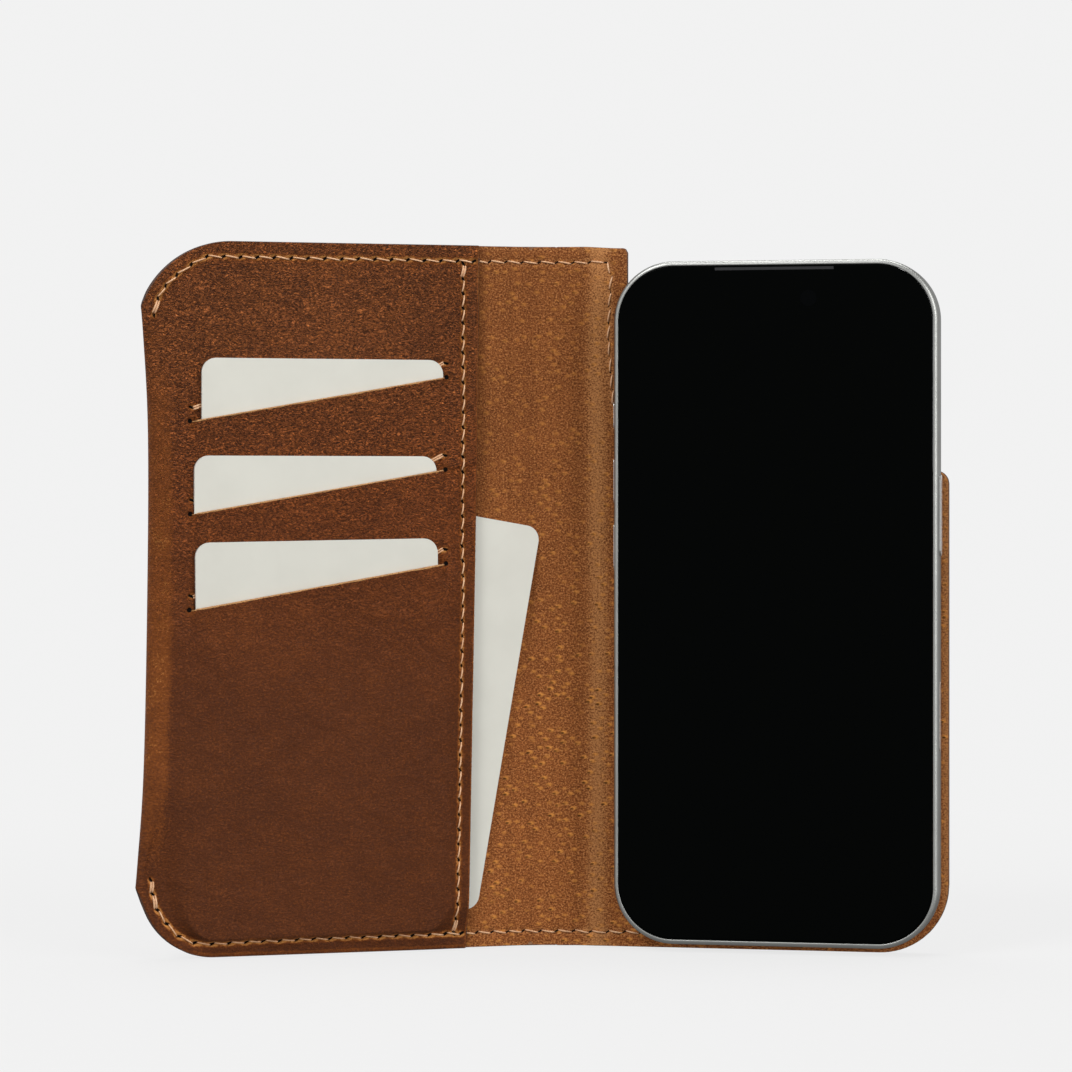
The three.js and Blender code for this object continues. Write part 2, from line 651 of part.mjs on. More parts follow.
function phoneFrame() {
  const b = FRAME_BEVEL;
  const depth = PHONE_FRONT - PHONE_BACK - 2 * FRAME_SETBACK;
  const outer = new THREE.ExtrudeGeometry(phoneOutline(b), {
    depth: depth - 2 * b,
    bevelEnabled: true,
    bevelSize: b,
    bevelThickness: b,
    bevelSegments: 2,
    curveSegments: 10,
  });
  outer.translate(0, 0, PHONE_BACK + FRAME_SETBACK + b);
  let frame = toSolid(outer).subtract(toSolid(plate(phoneOutline(FRAME_WALL), -2, 12, 10)));
  for (const button of BUTTONS) {
    frame = frame.subtract(toSolid(buttonBar(button, BUTTON_GAP)));
  }
  const middle = PHONE_LEFT_X + PHONE_WIDTH / 2;
  const half = PORT.width / 2;
  const z0 = BUTTON_CENTRE_Z - PORT.height / 2;
  const port = box(middle - half, middle + half, 0, PHONE_BOTTOM_Y + 3, z0, z0 + PORT.height);
  return piece("phone_frame", toGeometry(frame.subtract(toSolid(port))), phoneMetal);
}

function disc(x, y, radius, z0, z1, segments = 24) {
  const geometry = new THREE.CylinderGeometry(radius, radius, z1 - z0, segments);
  return geometry.rotateX(Math.PI / 2).translate(x, y, (z0 + z1) / 2);
}

function phoneCameras() {
  const { x, y, width, height, back } = PLATEAU;
  const half = height / 2;
  const shape = roundedRect(x - width / 2, y - half, x + width / 2, y + half, half - 0.5);
  const parts = [piece("phone_camera_plateau", plate(shape, back, PHONE_BACK - 0.05), phoneMetal)];
  for (let i = 0; i < 2; i += 1) {
    const lens = disc(x + LENS_OFFSET - LENS_STEP * i, y, LENS_R, LENS_BACK, back - 0.05, 28);
    parts.push(piece(`phone_lens_${i + 1}`, lens, darkPart));
  }
  const flash = disc(x + FLASH_OFFSET, y, FLASH_R, back - 0.35, back - 0.05, 18);
  parts.push(piece("phone_flash", flash, flashPlastic));
  return parts;
}

function phone() {
  const group = new THREE.Group();
  const glass = phoneOutline(FRAME_WALL + GLASS_GAP);
  group.add(phoneFrame());
  group.add(piece("phone_front_glass", plate(glass, PHONE_FRONT - GLASS_THICK, PHONE_FRONT), screenGlass));
  group.add(piece("phone_back_glass", plate(glass, PHONE_BACK, PHONE_BACK + GLASS_THICK), backGlass));
  const coreBack = PHONE_BACK + GLASS_THICK + GLASS_GAP;
  const coreFront = PHONE_FRONT - GLASS_THICK - GLASS_GAP;
  group.add(piece("phone_core", plate(phoneOutline(CORE_INSET), coreBack, coreFront, 4), darkPart));
  for (const button of BUTTONS) {
    group.add(piece(button.name, buttonBar(button, 0), phoneMetal));
  }
  const middle = PHONE_LEFT_X + PHONE_WIDTH / 2;
  const top = PHONE_BOTTOM_Y + PHONE_HEIGHT;
  const trim = PHONE_FRONT + TRIM_LIFT;
  const slotY = top - FRAME_WALL - EARPIECE.drop;
  const slotHalf = EARPIECE.width / 2;
  const slotTop = slotY + EARPIECE.height;
  const slot = box(middle - slotHalf, middle + slotHalf, slotY, slotTop, trim, trim + EARPIECE_THICK);
  group.add(piece("phone_earpiece", slot, darkPart));
  const { offset, drop, radius } = FRONT_CAMERA;
  const lens = disc(middle + offset, top - drop, radius, trim, trim + FRONT_CAMERA_THICK);
  group.add(piece("phone_front_camera", lens, darkPart));
  group.add(...phoneCameras());
  return group;
}

// ---------------------------------------------------------------- assembly

// A panel turned about a vertical hinge axis that stands in front of its lining.
function hinged(panel, hingeX, angle) {
  const hinge = new THREE.Group();
  hinge.position.set(hingeX, 0, HINGE_RISE);
  hinge.rotation.y = angle;
  panel.position.z = -HINGE_RISE;
  hinge.add(panel);
  return hinge;
}

function walletCase() {
  const upright = new THREE.Group();
  upright.rotation.x = Math.PI / 2;
  upright.add(spineStrip());
  upright.add(hinged(coverPanel(), COVER_HINGE_X, COVER_TILT));
  upright.add(hinged(backPanel(), BACK_HINGE_X, -BACK_TILT));
  const whole = new THREE.Group();
  whole.add(upright);
  whole.updateMatrixWorld(true);
  const bounds = new THREE.Box3().setFromObject(whole, true);
  const middle = bounds.getCenter(new THREE.Vector3());
  upright.position.set(-middle.x, -middle.y, -bounds.min.z);
  return whole;
}

export default walletCase();
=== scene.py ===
import json
import math

import bpy
import numpy as np
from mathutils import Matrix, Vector


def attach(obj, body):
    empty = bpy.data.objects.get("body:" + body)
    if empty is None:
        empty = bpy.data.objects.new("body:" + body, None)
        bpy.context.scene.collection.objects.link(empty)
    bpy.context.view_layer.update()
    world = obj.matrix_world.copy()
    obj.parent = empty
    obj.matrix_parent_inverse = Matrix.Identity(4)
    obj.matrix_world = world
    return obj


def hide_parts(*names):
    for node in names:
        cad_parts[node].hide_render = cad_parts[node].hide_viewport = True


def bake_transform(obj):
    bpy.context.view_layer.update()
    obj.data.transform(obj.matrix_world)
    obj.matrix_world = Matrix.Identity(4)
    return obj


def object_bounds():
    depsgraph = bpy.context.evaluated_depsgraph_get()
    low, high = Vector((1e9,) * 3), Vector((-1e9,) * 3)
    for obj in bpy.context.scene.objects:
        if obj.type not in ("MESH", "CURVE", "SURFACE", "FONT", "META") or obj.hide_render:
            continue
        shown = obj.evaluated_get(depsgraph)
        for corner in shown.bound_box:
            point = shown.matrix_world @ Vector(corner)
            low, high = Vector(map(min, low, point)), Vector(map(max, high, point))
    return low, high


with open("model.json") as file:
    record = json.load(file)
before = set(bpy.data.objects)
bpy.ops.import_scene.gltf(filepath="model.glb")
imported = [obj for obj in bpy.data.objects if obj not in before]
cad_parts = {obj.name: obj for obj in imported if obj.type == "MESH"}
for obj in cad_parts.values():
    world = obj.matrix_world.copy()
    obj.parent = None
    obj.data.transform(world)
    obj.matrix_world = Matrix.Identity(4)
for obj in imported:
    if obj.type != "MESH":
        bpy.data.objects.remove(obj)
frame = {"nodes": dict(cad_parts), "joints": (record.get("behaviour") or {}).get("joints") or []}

CAD_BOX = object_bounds()
NODES = frame["nodes"]
MM = 0.001

# ---------------------------------------------------------------- sizes, in millimetres
# Panel frame: x runs across a panel to the right, y is height, z stands off the lining towards the viewer.

HEIGHT = (CAD_BOX[1].z - CAD_BOX[0].z) / MM
COVER_TILT = math.radians(17.3)
BACK_TILT = math.radians(-11.9)
HINGE_RISE = 2.2  # the hinge axes stand this far in front of the lining
COVER_HINGE_X = -1.0  # in the spine's frame
BACK_HINGE_X = 9.36
SPINE_MIDDLE_X = 4.53
HINGE_GAP = 1.3
SPINE_GAP_LEFT = 2.3

LINING_THICK = 0.75
LEATHER_THICK = 0.8
LEATHER_BACK = -2.6
EDGE_BAND = 2.4  # beyond the boards the layers are pressed together

TOP_SEAM_Y = HEIGHT - 3.4
BOTTOM_SEAM_Y = 3.1
SEAM_PITCH = 3.72
PANEL_SEAM_PITCH = 3.25
SLIT_SEAM_PITCH = 3.4
SLIT_SEAM_RISE = 3.2

LOW_PART_Y = 30.0  # what lies below this belongs to the lower edge and its corner
BOTTOM_R = 16.0
BOTTOM_ARC_X = -71.2
BOTTOM_TURN = math.radians(66)  # the lower corner turns this far, then runs straight to the fold
TOP_R = 21.0
TOP_ARC_X = -67.2
FOLD_EDGE = [(15.3, -88.25), (50, -86.3), (85, -85.7), (120, -85.8), (140.2, -87.07)]  # height, x
TOP_CORNER_STITCHES = [(-84.4, 138.3), (-83.5, 141.8), (-81.8, 144.6), (-79.3, 147.0), (-76.2, 149.3)]
BOTTOM_CORNER_STITCHES = [
    (-85.1, 16.9), (-84.7, 13.9), (-83.7, 10.4), (-81.6, 7.4), (-79.0, 4.7), (-75.6, 3.2), (-71.8, 2.8),
]
FOLD_FRONT = 3.3  # how far the turned edge stands off, halfway up
FLAT_START_X = -86.0  # columns of points follow the turned edge from here on
FLAT_JOIN_X = -66.0  # and are upright from here on

PANEL_THICK = 0.7
PANEL_EDGE_TOP_X = -11.7
PANEL_EDGE_BOTTOM_X = -14.7
PANEL_EDGE_MIDDLE_X = (PANEL_EDGE_BOTTOM_X + PANEL_EDGE_TOP_X) / 2
SLITS = [  # left x, left height, right x, right height
    (-76.6, 115.4, -19.5, 125.3),
    (-76.8, 95.4, -20.2, 105.05),
    (-77.3, 74.8, -20.5, 84.5),
]
PANEL_SEAM_BOTTOM_X = -17.4
PANEL_SEAM_TOP_X = -15.1

BACK_RIGHT_X = 81.4
BACK_CORNER_R = 15.0
CUT_SIDE_X = 10.4
CUT_LEFT = (22.0, 114.0)
CUT_RIGHT_Y = 104.4
CUT_TIP_R = 2.3
CUT_TOP_Y = 126.0
STRIP_SEAM_X = 6.9
STRIP_SEAM_LOW_Y = 112.0

PHONE_LEFT_X = 8.9
PHONE_BOTTOM_Y = 1.5
PHONE_WIDTH = 71.2
PHONE_HEIGHT = 149.2
PHONE_CORNER_R = 13.3
PHONE_BACK = 0.5
PHONE_FRONT = 8.1
FRAME_WALL = 1.1
RAIL_ROUND = 0.85
RAIL_CROWN = 0.05
RAIL_SET_IN = 0.04  # so that a button pressed level still shows
GLASS_INSET = 1.2
GLASS_FRONT = 8.3
GLASS_THICK = 0.8
GLASS_ROUND = 0.25

# ---------------------------------------------------------------- frames


def hinge_point(name):
    """Where a hinge's axis stands at rest, in millimetres."""
    joint = next(j for j in frame["joints"] if j["name"] == name)
    return np.array(joint["pos_m"]) / MM


class Panel:
    """A rigid panel's own frame, turned about its hinge axis."""

    def __init__(self, hinge, tilt, hinge_x=0.0):
        self.across = np.array([math.cos(tilt), math.sin(tilt), 0.0])
        self.out = np.array([math.sin(tilt), -math.cos(tilt), 0.0])
        self.origin = hinge - self.out * HINGE_RISE - self.across * hinge_x

    def world(self, x, y, z):
        x, y, z = np.broadcast_arrays(*(np.asarray(v, float) for v in (x, y, z)))
        up = np.array([0.0, 0.0, 1.0])
        return self.origin + x[..., None] * self.across + y[..., None] * up + z[..., None] * self.out


COVER_AXIS = hinge_point("cover_fold")
BACK_AXIS = hinge_point("back_fold")
COVER = Panel(COVER_AXIS, COVER_TILT)
SPINE = Panel(COVER_AXIS, 0.0, COVER_HINGE_X)
BACK = Panel(BACK_AXIS, BACK_TILT)
LEFT_BEND = HINGE_RISE * COVER_TILT  # length of the bend along the lining
RIGHT_BEND = HINGE_RISE * -BACK_TILT


def bend_around(axis, from_tilt, to_tilt, share, y, z):
    """Points on the round bend between two panels, at a share of the way and a stand-off z."""
    tilt = from_tilt + (to_tilt - from_tilt) * share
    away = np.stack([-np.sin(tilt), np.cos(tilt), np.zeros_like(tilt)], -1)
    points = axis + away * (HINGE_RISE - z)[..., None]
    points[..., 2] = y
    return points


def left_path(s, y, z):
    """From the cover (s below 0) round the left hinge and on to the spine."""
    s, y, z = (np.array(v, float) for v in np.broadcast_arrays(s, y, z))
    share = np.clip(s / LEFT_BEND, 0, 1)
    bend = bend_around(COVER_AXIS, COVER_TILT, 0.0, share, y, z)
    cover = COVER.world(s, y, z)
    spine = SPINE.world(COVER_HINGE_X + s - LEFT_BEND, y, z)
    out = np.where((s < 0)[..., None], cover, bend)
    return np.where((s > LEFT_BEND)[..., None], spine, out)


def right_path(s, y, z):
    """From the spine (s well below 0) round the right hinge and on to the back panel."""
    s, y, z = (np.array(v, float) for v in np.broadcast_arrays(s, y, z))
    share = np.clip(1 + s / RIGHT_BEND, 0, 1)
    bend = bend_around(BACK_AXIS, 0.0, BACK_TILT, share, y, z)
    back = BACK.world(s, y, z)
    spine = SPINE.world(BACK_HINGE_X + s + RIGHT_BEND, y, z)
    out = np.where((s > 0)[..., None], back, bend)
    return np.where((s < -RIGHT_BEND)[..., None], spine, out)


LEFT_END = LEFT_BEND + SPINE_MIDDLE_X - COVER_HINGE_X
RIGHT_START = -RIGHT_BEND - (BACK_HINGE_X - SPINE_MIDDLE_X)


def from_right(x):
    """Turns a sheet's x measured from the left hinge into its x from the right hinge."""
    return x - LEFT_END + RIGHT_START


def from_left(x):
    """Turns a sheet's x measured from the right hinge into its x from the left hinge."""
    return x - RIGHT_START + LEFT_END


# ---------------------------------------------------------------- shape functions


def smooth(low, high, value):
    """0 below low and 1 above high, with an even curve between."""
    t = np.clip((np.asarray(value, float) - low) / (high - low), 0, 1)
    return t * t * (3 - 2 * t)


def mix(a, b, t):
    return a + (b - a) * t


def bell(distance, width):
    """1 at distance 0, fading out on both sides."""
    return np.exp(-((distance / width) ** 2))


def ripple(x, y, size, seed):
    """Slow unevenness between -1 and 1, the same on every run."""
    a = np.sin(x / size + 1.3 * seed) * np.cos(y / (size * 1.31) + 0.7 * seed)
    b = np.sin((x + 0.6 * y) / (size * 0.57) + 2.1 * seed) * 0.5
    c = np.cos((0.8 * x - y) / (size * 0.43) + 0.4 * seed) * 0.35
    return (a + b + c) / 1.85


def steps(*stops):
    """Values from stop to stop: steps(a, (b, size), (c, size)) runs a..b..c with those spacings."""
    out = [stops[0]]
    for stop, size in stops[1:]:
        count = max(1, int(round(abs(stop - out[-1]) / size)))
        out.extend(np.linspace(out[-1], stop, count + 1)[1:])
    return np.array(out)


FOLD_CURVE = np.polyfit([y for y, x in FOLD_EDGE], [x for y, x in FOLD_EDGE], 4)


def fold_x(y):
    """The cover's left outline."""
    return np.polyval(FOLD_CURVE, np.clip(y, FOLD_EDGE[0][0], FOLD_EDGE[-1][0]))


def fold_open(y):
    """1 where the edge is turned over, 0 at the stitched corners."""
    return smooth(16, 40, y) * (1 - smooth(112, 138, y))


def fold_front(y):
    """Stand-off of the turned edge's front side; fold_back gives its back side."""
    return mix(0.85, FOLD_FRONT, fold_open(y))


def fold_back(y):
    return mix(-1.75, LEATHER_BACK, smooth(15, 24, y) * (1 - smooth(130, 139, y)))


def fold_radius(y):
    return (fold_front(y) - fold_back(y)) / 2


def corner_line_y(x):
    """Height of the straight run between the lower corner's arc and the fold."""
    end_x = BOTTOM_ARC_X - BOTTOM_R * math.sin(BOTTOM_TURN)
    end_y = BOTTOM_R * (1 - math.cos(BOTTOM_TURN))
    slope = (FOLD_EDGE[0][0] - end_y) / (FOLD_EDGE[0][1] - end_x)
    return end_y + slope * (x - end_x)


def cover_low(x):
    """The cover's lower outline; cover_high gives the upper one."""
    reach = np.clip(BOTTOM_R**2 - np.minimum(x - BOTTOM_ARC_X, 0) ** 2, 0, None)
    beyond = x < BOTTOM_ARC_X - BOTTOM_R * math.sin(BOTTOM_TURN)
    return np.where(beyond, corner_line_y(x), BOTTOM_R - np.sqrt(reach))


def cover_high(x):
    reach = np.clip(TOP_R**2 - np.minimum(x - TOP_ARC_X, 0) ** 2, 0, None)
    return HEIGHT - TOP_R + np.sqrt(reach)


def cover_edge_distance(x, y):
    """How far a point of the cover is inside the stitched part of its outline."""
    in_arc = BOTTOM_R - np.hypot(x - BOTTOM_ARC_X, y - BOTTOM_R)
    low = np.where((x < BOTTOM_ARC_X) & (y < BOTTOM_R), in_arc, y)
    line = (y - corner_line_y(x)) * math.cos(BOTTOM_TURN)
    low = np.where((x < BOTTOM_ARC_X) & (y < LOW_PART_Y), np.minimum(low, line), low)
    top = HEIGHT - TOP_R
    in_arc = TOP_R - np.hypot(x - TOP_ARC_X, y - top)
    high = np.where((x < TOP_ARC_X) & (y > top), in_arc, HEIGHT - y)
    return np.minimum(low, high)


def panel_edge_x(y):
    return mix(PANEL_EDGE_BOTTOM_X, PANEL_EDGE_TOP_X, np.asarray(y, float) / HEIGHT)


def slit_y(slit, x):
    x0, y0, x1, y1 = slit
    return y0 + (y1 - y0) * (x - x0) / (x1 - x0)


# ---------------------------------------------------------------- pocket panel relief

TIER_FRONTS = [1.0, 2.58]  # the two upper tiers stand upright
CARD_LEAN = {2: (2.281, 65.3, 0.011), 3: (3.341, 47.0, 0.0225)}  # back face, its height, lean
CARD_STACK = 0.82 + PANEL_THICK  # a card, its clearance and the leather over it
CARD_SIDES = [(-74.2, -20.2), (-76.2, -22.2), (-76.4, -21.3)]
HEM_RISE = 1.15  # over this height the panel climbs over the lowest card
HEM_FRONT = 0.82
LOW_HEM_LIFT = 0.6
LEVELLING = 5.5  # beside a slit's ends the tiers level out over this height
LIP_CURL = 0.16  # a lip stands up at its edge, and the leather behind it sinks
LIP_SINK = 0.10
FREE_EDGE_LOW_Z = 2.4  # stand-off of the panel's free edge, and how much less it is at the top
FREE_EDGE_DROP = 1.25
UNEVEN = 0.10
LEDGE = 0.65  # along the lower edge the panel ends this far above the outer leather


def tier_front(tier, y):
    """Front of the panel leather over the cards. Tier 0 is the top one."""
    if tier < len(TIER_FRONTS):
        return np.full_like(y, TIER_FRONTS[tier])
    back, height, lean = CARD_LEAN[tier]
    return back + lean * (y - height) + CARD_STACK


def slit_open(slit, x):
    """1 along the slit, falling to 0 just inside its ends."""
    return smooth(slit[0] + 0.1, slit[0] + 1.3, x) * (1 - smooth(slit[2] - 0.75, slit[2] - 0.1, x))


def low_hem(x, y):
    """1 along the lower hem in front of the lowest card, where the layers are thicker."""
    return (y < LOW_PART_Y) * smooth(-84, -76, x) * (1 - smooth(-24, -17, x))


def panel_z(tier, x, y):
    """Stand-off of the panel's grain side.

    A tier's upper end is a lip over a card, and its lower end goes in behind the next lip.
    """
    own = z = tier_front(tier, y)
    upper, lower = (tier - 1, tier - 1, -1, LIP_CURL, 1.1), (tier, tier + 1, 1, -LIP_SINK, 2.0)
    for index, other, way, lift, fade in (upper, lower):
        if not 0 <= index < len(SLITS):
            continue
        gap = way * (y - slit_y(SLITS[index], x))
        opened = slit_open(SLITS[index], x)
        joined = (tier_front(other, y) + own) / 2
        z = z + (joined - own) * (1 - opened) * (1 - smooth(0, LEVELLING, gap))
        z = z + lift * opened * np.exp(-np.clip(gap, 0, None) / fade)
    left, right = CARD_SIDES[max(tier - 1, 0)]
    z = mix(fold_front(y), z, smooth(-83.5, left - 0.6, x))
    free_edge = FREE_EDGE_LOW_Z - FREE_EDGE_DROP + FREE_EDGE_DROP * smooth(150, 100, y)
    z = mix(z, free_edge, smooth(right + 0.8, right + 9.5, x))
    inside = cover_edge_distance(x, y)
    over_card = smooth(-84, -72.5, x) * (1 - smooth(-24, -17, x))
    foot = np.where(y < LOW_PART_Y, mix(2.75, 3.25, np.clip((x + 72) / 48, 0, 1)), 2.9)
    rise = mix(7.0, HEM_RISE, over_card * (y < LOW_PART_Y))
    z = mix(HEM_FRONT + LOW_HEM_LIFT * low_hem(x, y), z, smooth(foot, foot + rise, inside))
    z = z - 0.22 * (1 - smooth(LEDGE - 0.2, LEDGE, inside)) * (y < 2) * smooth(-78, -75, x)
    z = z + UNEVEN * ripple(x, y, 9.0, 1.0) * smooth(3, 12, inside)
    return z


def panel_tier(x, y):
    """The tier that a point of the panel lies on."""
    tier = np.zeros(np.shape(x), int)
    for i, slit in enumerate(SLITS):
        tier = np.where(y < slit_y(slit, x), i + 1, tier)
    return tier


def panel_front(x, y):
    """Stand-off of the panel's grain side, whichever tier a point lies on."""
    x, y = np.broadcast_arrays(np.asarray(x, float), np.asarray(y, float))
    tier = panel_tier(x, y)
    z = np.zeros(x.shape)
    for i in range(len(SLITS) + 1):
        z = np.where(tier == i, panel_z(i, x, y), z)
    return z


# ---------------------------------------------------------------- seams

HAND_WOBBLE = 0.10
HOLE_REACH = 1.6
HOLE_HALF_LENGTH = 0.42
HOLE_SLANT = (0.88, 0.48)  # how much a hole runs along its seam and across it
HOLE_BOX = 2.0  # points further off than this in x or y are passed over
LINE_REACH = 2.0
LINE_BOX = 2.2
HOLE_PULL = 0.36
LINE_PULL = 0.16


class Seam:
    """Stitch holes in a panel's frame: some listed one by one, then more, evenly spaced, along a line."""

    def __init__(self, points, pitch, doubled=(), first=()):
        points = np.array(points, float)
        lengths = np.hypot(*np.diff(points, axis=0).T)
        run = np.concatenate([[0], np.cumsum(lengths)])
        count = max(1, int(round(run[-1] / pitch)))
        at = np.linspace(0, run[-1], count + 1)
        holes = np.stack([np.interp(at, run, points[:, i]) for i in (0, 1)], -1)
        if len(first):
            holes = np.concatenate([np.array(first, float), holes])
        wobble = np.stack([ripple(holes[:, 1] * 9, holes[:, 0] * 7, 5.0, i) for i in (1.0, 2.0)], -1)
        wobble[[0, -1]] = 0
        self.holes = holes + HAND_WOBBLE * wobble
        ahead = np.gradient(self.holes, axis=0)
        self.along = ahead / np.hypot(ahead[:, 0], ahead[:, 1])[:, None]
        self.side = np.stack([-self.along[:, 1], self.along[:, 0]], -1)
        self.doubled = [d % (len(holes) - 1) for d in doubled]


def arc(cx, cy, r, start, end, count):
    angles = np.radians(np.linspace(start, end, count))
    return [(cx + r * math.cos(a), cy + r * math.sin(a)) for a in angles]


def panel_seam_x(y):
    return mix(PANEL_SEAM_BOTTOM_X, PANEL_SEAM_TOP_X, y / HEIGHT)


def top_left_seam():
    line = [(-72.8, TOP_SEAM_Y + 0.1), (panel_edge_x(TOP_SEAM_Y) - 1.0, TOP_SEAM_Y)]
    return Seam(line, SEAM_PITCH, (0,), TOP_CORNER_STITCHES)


def bottom_left_seam():
    line = [(-68.0, 2.95), (-50, 3.25), (panel_edge_x(BOTTOM_SEAM_Y) - 1.0, BOTTOM_SEAM_Y + 0.1)]
    return Seam(line, SEAM_PITCH, (0, 1), BOTTOM_CORNER_STITCHES)


def lining_left_seam(y):
    return Seam([(panel_edge_x(y) - 0.9, y), (LEFT_END, y)], SEAM_PITCH)


def lining_top_right_seam():
    turn = arc(STRIP_SEAM_X - 1.0, TOP_SEAM_Y - 1.0, 1.0, 90, 0, 4)
    down = [(6.2, 134), (7.3, 120.6), (8.4, STRIP_SEAM_LOW_Y)]
    return Seam([(RIGHT_START, TOP_SEAM_Y), *turn, *down], SEAM_PITCH)


def lining_bottom_right_seam():
    corner_x = BACK_RIGHT_X - BACK_CORNER_R
    return Seam([(RIGHT_START, BOTTOM_SEAM_Y), (corner_x, BOTTOM_SEAM_Y)], SEAM_PITCH)


def panel_edge_seam():
    ends = [(panel_seam_x(y), y) for y in (150.4, 3.4)]
    return Seam(ends, PANEL_SEAM_PITCH, doubled=(0, -1))


def slit_seam(slit):
    """Stitches above a slit. The last one at the right slants up."""
    x0, y0, x1, y1 = slit
    right = (x1 + 0.2, y1 + SLIT_SEAM_RISE)
    before = (x1 - 3.2, y1 + SLIT_SEAM_RISE - 1.1)
    left = (x0 + 0.3, y0 + SLIT_SEAM_RISE - 0.1)
    return Seam([before, left], SLIT_SEAM_PITCH, (0, -1), [right])


TOP_LEFT = top_left_seam()
BOTTOM_LEFT = bottom_left_seam()
LINING_TOP_LEFT = lining_left_seam(TOP_SEAM_Y)
LINING_BOTTOM_LEFT = lining_left_seam(BOTTOM_SEAM_Y)
TOP_RIGHT = lining_top_right_seam()
BOTTOM_RIGHT = lining_bottom_right_seam()
PANEL_EDGE = panel_edge_seam()
SLIT_SEAMS = [slit_seam(slit) for slit in SLITS]


def slant_sign(along):
    """Holes slant the same way on the leather, whichever way a seam is run."""
    return 1 if along[0] > -0.5 else -1


def hole_field(x, y, seams):
    """1 at a stitch hole's middle, falling evenly to 0 at HOLE_REACH; holes are slanted slits."""
    field = np.zeros(x.shape)
    flat_x, flat_y = x.ravel(), y.ravel()
    best = field.ravel()
    for seam in seams:
        for centre, along, side in zip(seam.holes, seam.along, seam.side):
            near = np.nonzero((abs(flat_x - centre[0]) < HOLE_BOX) & (abs(flat_y - centre[1]) < HOLE_BOX))[0]
            if not len(near):
                continue
            dx, dy = flat_x[near] - centre[0], flat_y[near] - centre[1]
            slant = along * HOLE_SLANT[0] + side * HOLE_SLANT[1] * slant_sign(along)
            a = abs(dx * slant[0] + dy * slant[1])
            b = abs(dy * slant[0] - dx * slant[1])
            distance = np.hypot(np.clip(a - HOLE_HALF_LENGTH, 0, None), b)
            best[near] = np.maximum(best[near], 1 - np.clip(distance / HOLE_REACH, 0, 1))
    return best.reshape(x.shape)


def seam_field(x, y, seams):
    """1 on a seam's line, falling to 0 at LINE_REACH from it."""
    best = np.zeros(x.size)
    flat = np.stack([x.ravel(), y.ravel()], -1)
    for seam in seams:
        for a, b in zip(seam.holes[:-1], seam.holes[1:]):
            low, high = np.minimum(a, b) - LINE_BOX, np.maximum(a, b) + LINE_BOX
            near = np.nonzero(((flat > low) & (flat < high)).all(1))[0]
            if not len(near):
                continue
            d = b - a
            t = np.clip(((flat[near] - a) @ d) / (d @ d), 0, 1)
            distance = np.hypot(*(flat[near] - a - t[:, None] * d).T)
            best[near] = np.maximum(best[near], 1 - np.clip(distance / LINE_REACH, 0, 1))
    return best.reshape(x.shape)


def pull(hole, line):
    """How deep the thread pulls the leather in."""
    return HOLE_PULL * smooth(0.5, 0.98, hole) + LINE_PULL * smooth(0.05, 1.0, line)


# ---------------------------------------------------------------- meshes

EDGE_RINGS = (0.18, 0.5, 0.82)  # shares of the thickness at which a sheet's rounded edge has points
GRAIN, EDGE, FLESH_SIDE, RAW_CUT = range(4)  # order of a sheet's materials


def unit(vectors):
    length = np.linalg.norm(vectors, axis=1)
    return vectors / np.where(length > 1e-12, length, 1)[:, None]


def vertex_normals(points, faces):
    """Averages of the normals of the faces round each vertex."""
    across = points[faces[:, 2]] - points[faces[:, 0]], points[faces[:, 3]] - points[faces[:, 1]]
    face_normals = np.cross(*across)
    out = np.zeros_like(points)
    for i in range(4):
        np.add.at(out, faces[:, i], face_normals)
    return unit(out)


def open_edges(faces, count):
    """The edges that have a face on one side only."""
    edges = np.concatenate([faces[:, [i, (i + 1) % 4]] for i in range(4)])
    keys = edges[:, 0] * count + edges[:, 1]
    back_keys = edges[:, 1] * count + edges[:, 0]
    return edges[~np.isin(keys, back_keys)]


def away_from_sheet(points, normals, rim):
    """At each point of the rim, the direction in the sheet's own plane that leaves it."""
    out = np.zeros_like(points)
    side = np.cross(points[rim[:, 1]] - points[rim[:, 0]], normals[rim[:, 0]])
    for i in (0, 1):
        np.add.at(out, rim[:, i], side)
    return unit(out)


